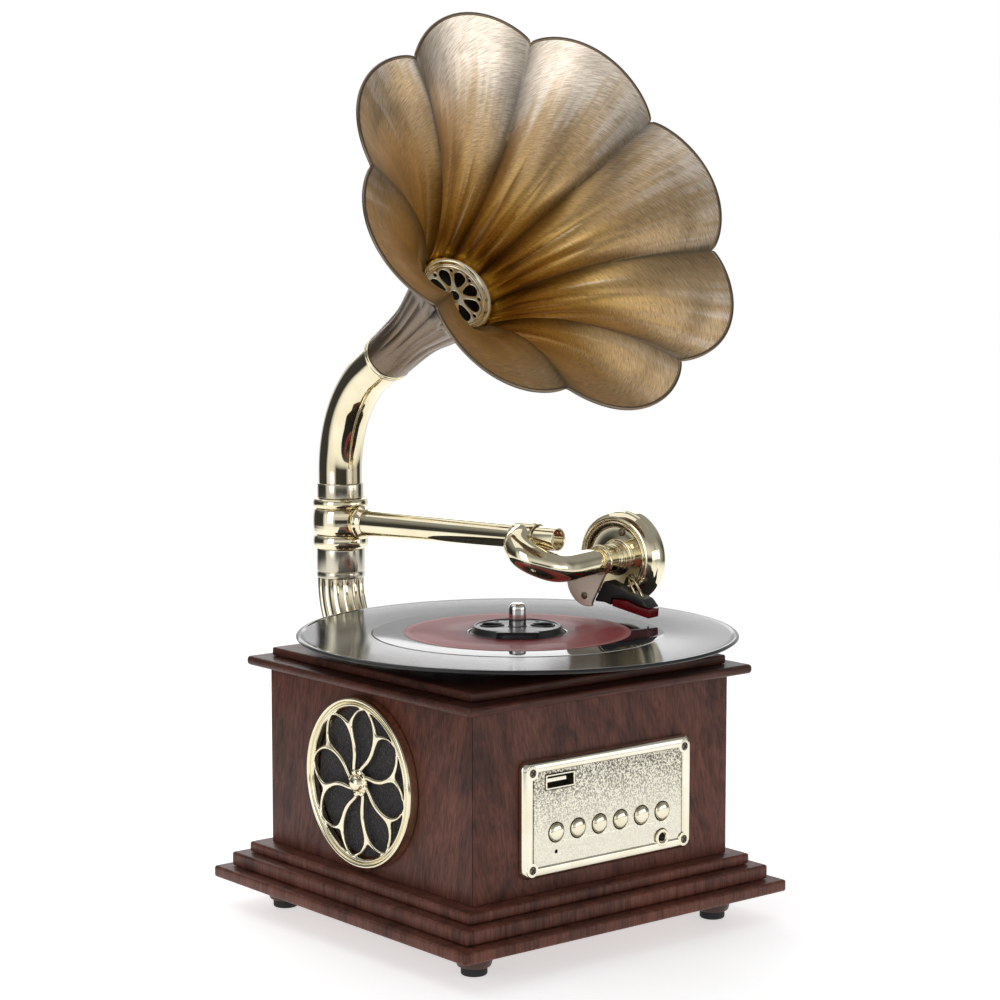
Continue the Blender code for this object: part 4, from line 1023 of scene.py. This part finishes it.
def horn_point(distance, angle):
    """Wall centre: petals swell between eight creases, flutes run out of the throat."""
    open_part = max(0.0, (distance - THROAT_AT) / (HORN_LENGTH - THROAT_AT))
    phase = angle - PETAL_PHASE
    petal = abs(math.sin(PETALS / 2 * phase)) ** 0.8
    radius = crease_radius(distance) + 9.6 * open_part ** 0.75 * petal
    flute = smooth_step(distance, 54, 64) * (1 - smooth_step(distance, 76, 112))
    radius -= 1.6 * flute * (1 - abs(math.sin(PETALS * 1.5 * phase)) ** 0.7)
    neck = smooth_step(distance, 8, 30) * (1 - smooth_step(distance, 50, 66))
    radius -= 0.9 * neck * (1 - abs(math.sin(PETALS * phase)) ** 0.6)
    lip = smooth_step(distance, 117.0, 120.0) * (1 - smooth_step(distance, 120.5, HORN_LENGTH))
    radius += 0.7 * lip * petal - 0.5 * smooth_step(distance, 118.0, HORN_LENGTH)
    height = distance + 2.6 * open_part ** 4 * math.sqrt(petal)
    return Vector((radius * math.cos(angle), radius * math.sin(angle), height)), open_part, petal


def horn_normals(grid):
    """Outward normals of a closed grid of points."""
    rows = len(grid)
    columns = len(grid[0])
    normals = []
    for i in range(rows):
        up = grid[min(i + 1, rows - 1)]
        down = grid[max(i - 1, 0)]
        row = []
        for k in range(columns):
            around = grid[i][(k + 1) % columns] - grid[i][k - 1]
            row.append(around.cross(up[k] - down[k]).normalized())
        normals.append(row)
    return normals


def make_horn(mats):
    columns = PETALS * 48
    neck = HORN_PROFILE[0][0]
    distances = [neck + (THROAT_AT - neck) * k / 24 for k in range(24)]
    distances += [THROAT_AT + (HORN_LENGTH - THROAT_AT) * k / 84 for k in range(85)]
    angles = [PETAL_PHASE + TAU * k / columns for k in range(columns)]
    data = [[horn_point(distance, angle) for angle in angles] for distance in distances]
    grid = [[point for point, _, _ in row] for row in data]
    normals = horn_normals(grid)
    bm = bmesh.new()
    uv = bm.loops.layers.uv.new("UVMap")
    along = bm.verts.layers.float.new("along")
    crest = bm.verts.layers.float.new("crest")

    def skin(offset):
        rows = []
        for i, row in enumerate(data):
            verts = []
            for k, (point, open_part, petal) in enumerate(row):
                vert = bm.verts.new(HORN @ ((point + normals[i][k] * offset) * MM))
                # painted light: the pale tips are pushed further out on the upper side and held back on the
                # lower side
                facing = math.cos(angles[k] - PAINTED_LIGHT_SIDE)
                vert[along] = open_part * (1 + (0.36 if facing > 0 else -0.14) * facing ** 2)
                vert[crest] = petal if open_part > 0 else 1.0
                verts.append(vert)
            rows.append(verts)
        return rows

    def strip(low, high, v0, v1, index):
        for k in range(columns):
            n = (k + 1) % columns
            face = bm.faces.new((low[k], low[n], high[n], high[k]))
            face.material_index = index
            u0, u1 = k / columns, (k + 1) / columns
            for loop, co in zip(face.loops, ((u0, v0), (u1, v0), (u1, v1), (u0, v1))):
                loop[uv].uv = co

    outside = skin(0.5)
    inside = skin(-0.5)
    for index, rows in enumerate((outside, inside)):
        for i in range(len(rows) - 1):
            strip(rows[i], rows[i + 1], distances[i] / HORN_LENGTH, distances[i + 1] / HORN_LENGTH, index)
    for end in (0, -1):
        strip(outside[end], inside[end], 0.99, 1.0, 0)
    mesh = from_bmesh("look_horn", bm)
    mesh.materials.append(mats["horn_out"])
    mesh.materials.append(mats["horn_in"])
    add("look_horn", mesh, mats["horn_out"], "horn_body", "horn", angle=60)
    make_horn_rim(grid[-1], normals[-1], mats)


def make_horn_rim(edge, normals, mats):
    """A rolled bead on the mouth of the horn."""
    rings = []
    for k, (centre, out) in enumerate(zip(edge, normals)):
        tangent = (edge[(k + 1) % len(edge)] - edge[k - 1]).normalized()
        side = tangent.cross(out).normalized()
        rings.append([centre + out * u + side * v for u, v in circle(0.75, steps=10)])
    add("horn_rim", loft("horn_rim", rings, HORN, wrap=True), mats["rim"], "horn_body", angle=60)


def make_horn_fittings(mats):
    """The bent pipe, the collar on the neck and the cast rosette in the throat."""
    path = [(0, 0, LEVELS[-1]), (0, 0, 167.5)]
    tilt = math.radians(HORN_TILT)
    path += [elbow_point(tilt * k / 40) for k in range(41)]
    path += [elbow_point(tilt, ELBOW_TAIL - back) for back in (7.0, 2.0)]
    tube("look_horn_elbow", path, lambda k, angle: 9.25, lambda k, angle: 7.65, SWIVEL, mats["gold"],
         "horn_body", "horn_elbow", steps=72)
    collar = [(7.8, -1.9), (7.8, 0.9), (10.2, 0.9), (10.7, 0.5), (10.7, -0.3), (10.2, -0.6), (10.2, -0.9),
              (10.6, -1.2), (10.5, -1.9)]
    lathe("look_neck_collar", collar, HORN, mats["gold"], "horn_body", "neck_collar", ring=True, fillet=0.2)
    ring = [(12.6, -1.0), (12.6, 0.6), (13.2, 1.0), (13.7, 0.8), (14.1, 1.3), (14.7, 1.9), (15.6, 2.2),
            (16.4, 1.7), (16.6, 0.8), (16.6, -1.0)]
    place = HORN @ shift(0, 0, THROAT_AT)
    lathe("look_throat_grille", ring, place, mats["grille"], "horn_body", "throat_grille", ring=True,
          fillet=0.25)
    leaf = [(4.8, -0.18), (7.6, -0.29), (10.6, -0.27), (12.1, 0.0), (10.6, 0.27), (7.6, 0.29), (4.8, 0.18),
            (4.2, 0.0)]
    outlines = [circle(12.9, steps=96), circle(2.0)]
    for index in range(8):
        centre = TAU * index / 8 + math.radians(12)
        outlines.append(chaikin([(r * math.cos(centre + s), r * math.sin(centre + s)) for r, s in leaf]))
        between = centre + TAU / 16
        outlines.append(circle(0.75, (11.3 * math.cos(between), 11.3 * math.sin(between)), 20))
    plate("throat_rosette", outlines, -0.7, 0.7, place, mats["grille"], "horn_body", bevel=0.28, segments=2)


# --- what stays as modelled ---------------------------------------------------
def dress_nodes(mats):
    """CAD nodes that are shown as they are: sockets, bearings and what sits inside."""
    kept = {
        "circuit_board": "board", "left_speaker_cloth": "cloth",
        "right_speaker_cloth": "cloth", "left_speaker": "cone", "right_speaker": "cone",
        "platter_bearing": "steel", "motor": "steel", "motor_pulley": "gold", "drive_belt": "belt",
        "post_tube": "steel", "horn_speaker": "cone",
    }
    for name, key in kept.items():
        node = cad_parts[name]
        node.data.materials.clear()
        node.data.materials.append(mats[key])


# --- studio -------------------------------------------------------------------
def area_light(name, location, target, size, power, colour=(1, 1, 1)):
    light = bpy.data.lights.new(name, "AREA")
    light.shape = "RECTANGLE"
    light.size, light.size_y = size
    light.energy = power
    light.color = colour
    obj = bpy.data.objects.new(name, light)
    obj.location = location
    obj.rotation_euler = (Vector(target) - Vector(location)).to_track_quat("-Z", "Y").to_euler()
    bpy.context.scene.collection.objects.link(obj)


def make_world():
    """White to the camera; in reflections a bright room with dark flags, turned to face the lens."""
    world = bpy.data.worlds.new("studio")
    bpy.context.scene.world = world
    world.use_nodes = True
    n = Nodes(world.node_tree)
    generated = n.node("TexCoord").outputs["Generated"]
    turned = n.node("Mapping", Rotation=(0, 0, math.radians(-VIEW_AZIMUTH)), Vector=generated).outputs[0]
    x, y, z = n.node("SeparateXYZ", Vector=turned).outputs
    angle = n.math("ARCTAN2", x, n.math("MULTIPLY", y, -1.0))
    circuit = n.math("MULTIPLY_ADD", angle, 1 / TAU, 0.5)
    height = n.math("MULTIPLY_ADD", z, 0.5, 0.5)
    around = n.ramp(circuit, (
        (0.00, 0.80), (0.08, 0.70), (0.115, 0.05), (0.285, 0.04), (0.315, 0.95), (0.415, 0.85), (0.45, 0.05),
        (0.595, 0.04), (0.63, 0.80), (0.67, 0.85), (0.70, 0.42), (0.775, 0.62), (0.80, 0.05), (0.855, 0.05),
        (0.885, 0.82), (1.00, 0.80)))
    above = n.ramp(height, ((0.58, 0.0), (0.76, 1.0)))
    below = n.ramp(height, ((0.33, 1.0), (0.40, 0.0)))
    ahead = n.math("MULTIPLY", n.ramp(circuit, ((0.36, 0.0), (0.42, 1.0), (0.63, 1.0), (0.68, 0.0))),
                   n.ramp(height, ((0.47, 0.0), (0.54, 1.0))))
    room = n.mix(ahead, around, 0.85)
    room = n.mix(above, room, 0.30)
    room = n.mix(below, room, 0.75)
    seen = n.node("LightPath").outputs["Is Camera Ray"]
    n.set(n.nodes["Background"].inputs["Color"], n.mix(seen, room, 1.0))


def make_floor():
    """Pale floor that fades into the white background."""
    bm = bmesh.new()
    bmesh.ops.create_circle(bm, cap_ends=True, segments=96, radius=1.6)
    floor = from_bmesh("floor", bm)
    s = Shader("studio_floor", "", Roughness=0.75, Specular_IOR_Level=0.2)
    grain = s.noise(s.place(scale=(40, 40, 40)), 1.0, 2.0)
    s.colour(s.ramp(grain, ((0.3, (0.91, 0.91, 0.91)), (0.7, (0.94, 0.94, 0.94)))))
    s.shader.inputs["Emission Color"].default_value = (1, 1, 1, 1)
    s.shader.inputs["Emission Strength"].default_value = 0.56
    fade = s.ramp(s.length(s.place()), ((0.42, 1.0), (0.95, 0.0)))
    s.set(s.shader.inputs["Alpha"], fade)
    floor.materials.append(s.mat)
    obj = bpy.data.objects.new("floor", floor)
    bpy.context.scene.collection.objects.link(obj)


def make_studio():
    make_world()
    make_floor()
    middle = (0, 0, 0.17)
    area_light("top", (-0.2, 0.5, 1.6), middle, (1.8, 1.6), 7)
    area_light("key", (-1.6, -0.2, 0.55), middle, (0.7, 1.2), 4.5)
    area_light("fill", (0.9, -1.5, 0.25), middle, (1.4, 0.5), 2.8)
    area_light("back", (0.9, 1.3, 0.8), middle, (1.2, 0.8), 6)


def make_camera():
    data = bpy.data.cameras.new("camera")
    data.lens = 94.86
    data.sensor_width = 36.0
    obj = bpy.data.objects.new("camera", data)
    azimuth, elevation = math.radians(VIEW_AZIMUTH), math.radians(6.653)
    back = Vector((math.sin(azimuth) * math.cos(elevation), -math.cos(azimuth) * math.cos(elevation),
                   math.sin(elevation)))
    obj.location = (-0.654694, -0.81245, 0.2880)
    obj.rotation_euler = back.to_track_quat("Z", "Y").to_euler()
    bpy.context.scene.collection.objects.link(obj)
    bpy.context.scene.camera = obj


def main():
    mats = make_materials()
    make_case(mats)
    make_rear(mats)
    make_panel(mats)
    for side, sign in (("left", -1), ("right", 1)):
        make_grille(side, sign, mats)
    make_turntable(mats)
    make_post(mats)
    make_arm(mats)
    make_cartridge(mats)
    make_horn(mats)
    make_horn_fittings(mats)
    dress_nodes(mats)
    make_studio()
    make_camera()
    bpy.context.scene.view_settings.view_transform = "Standard"


main()
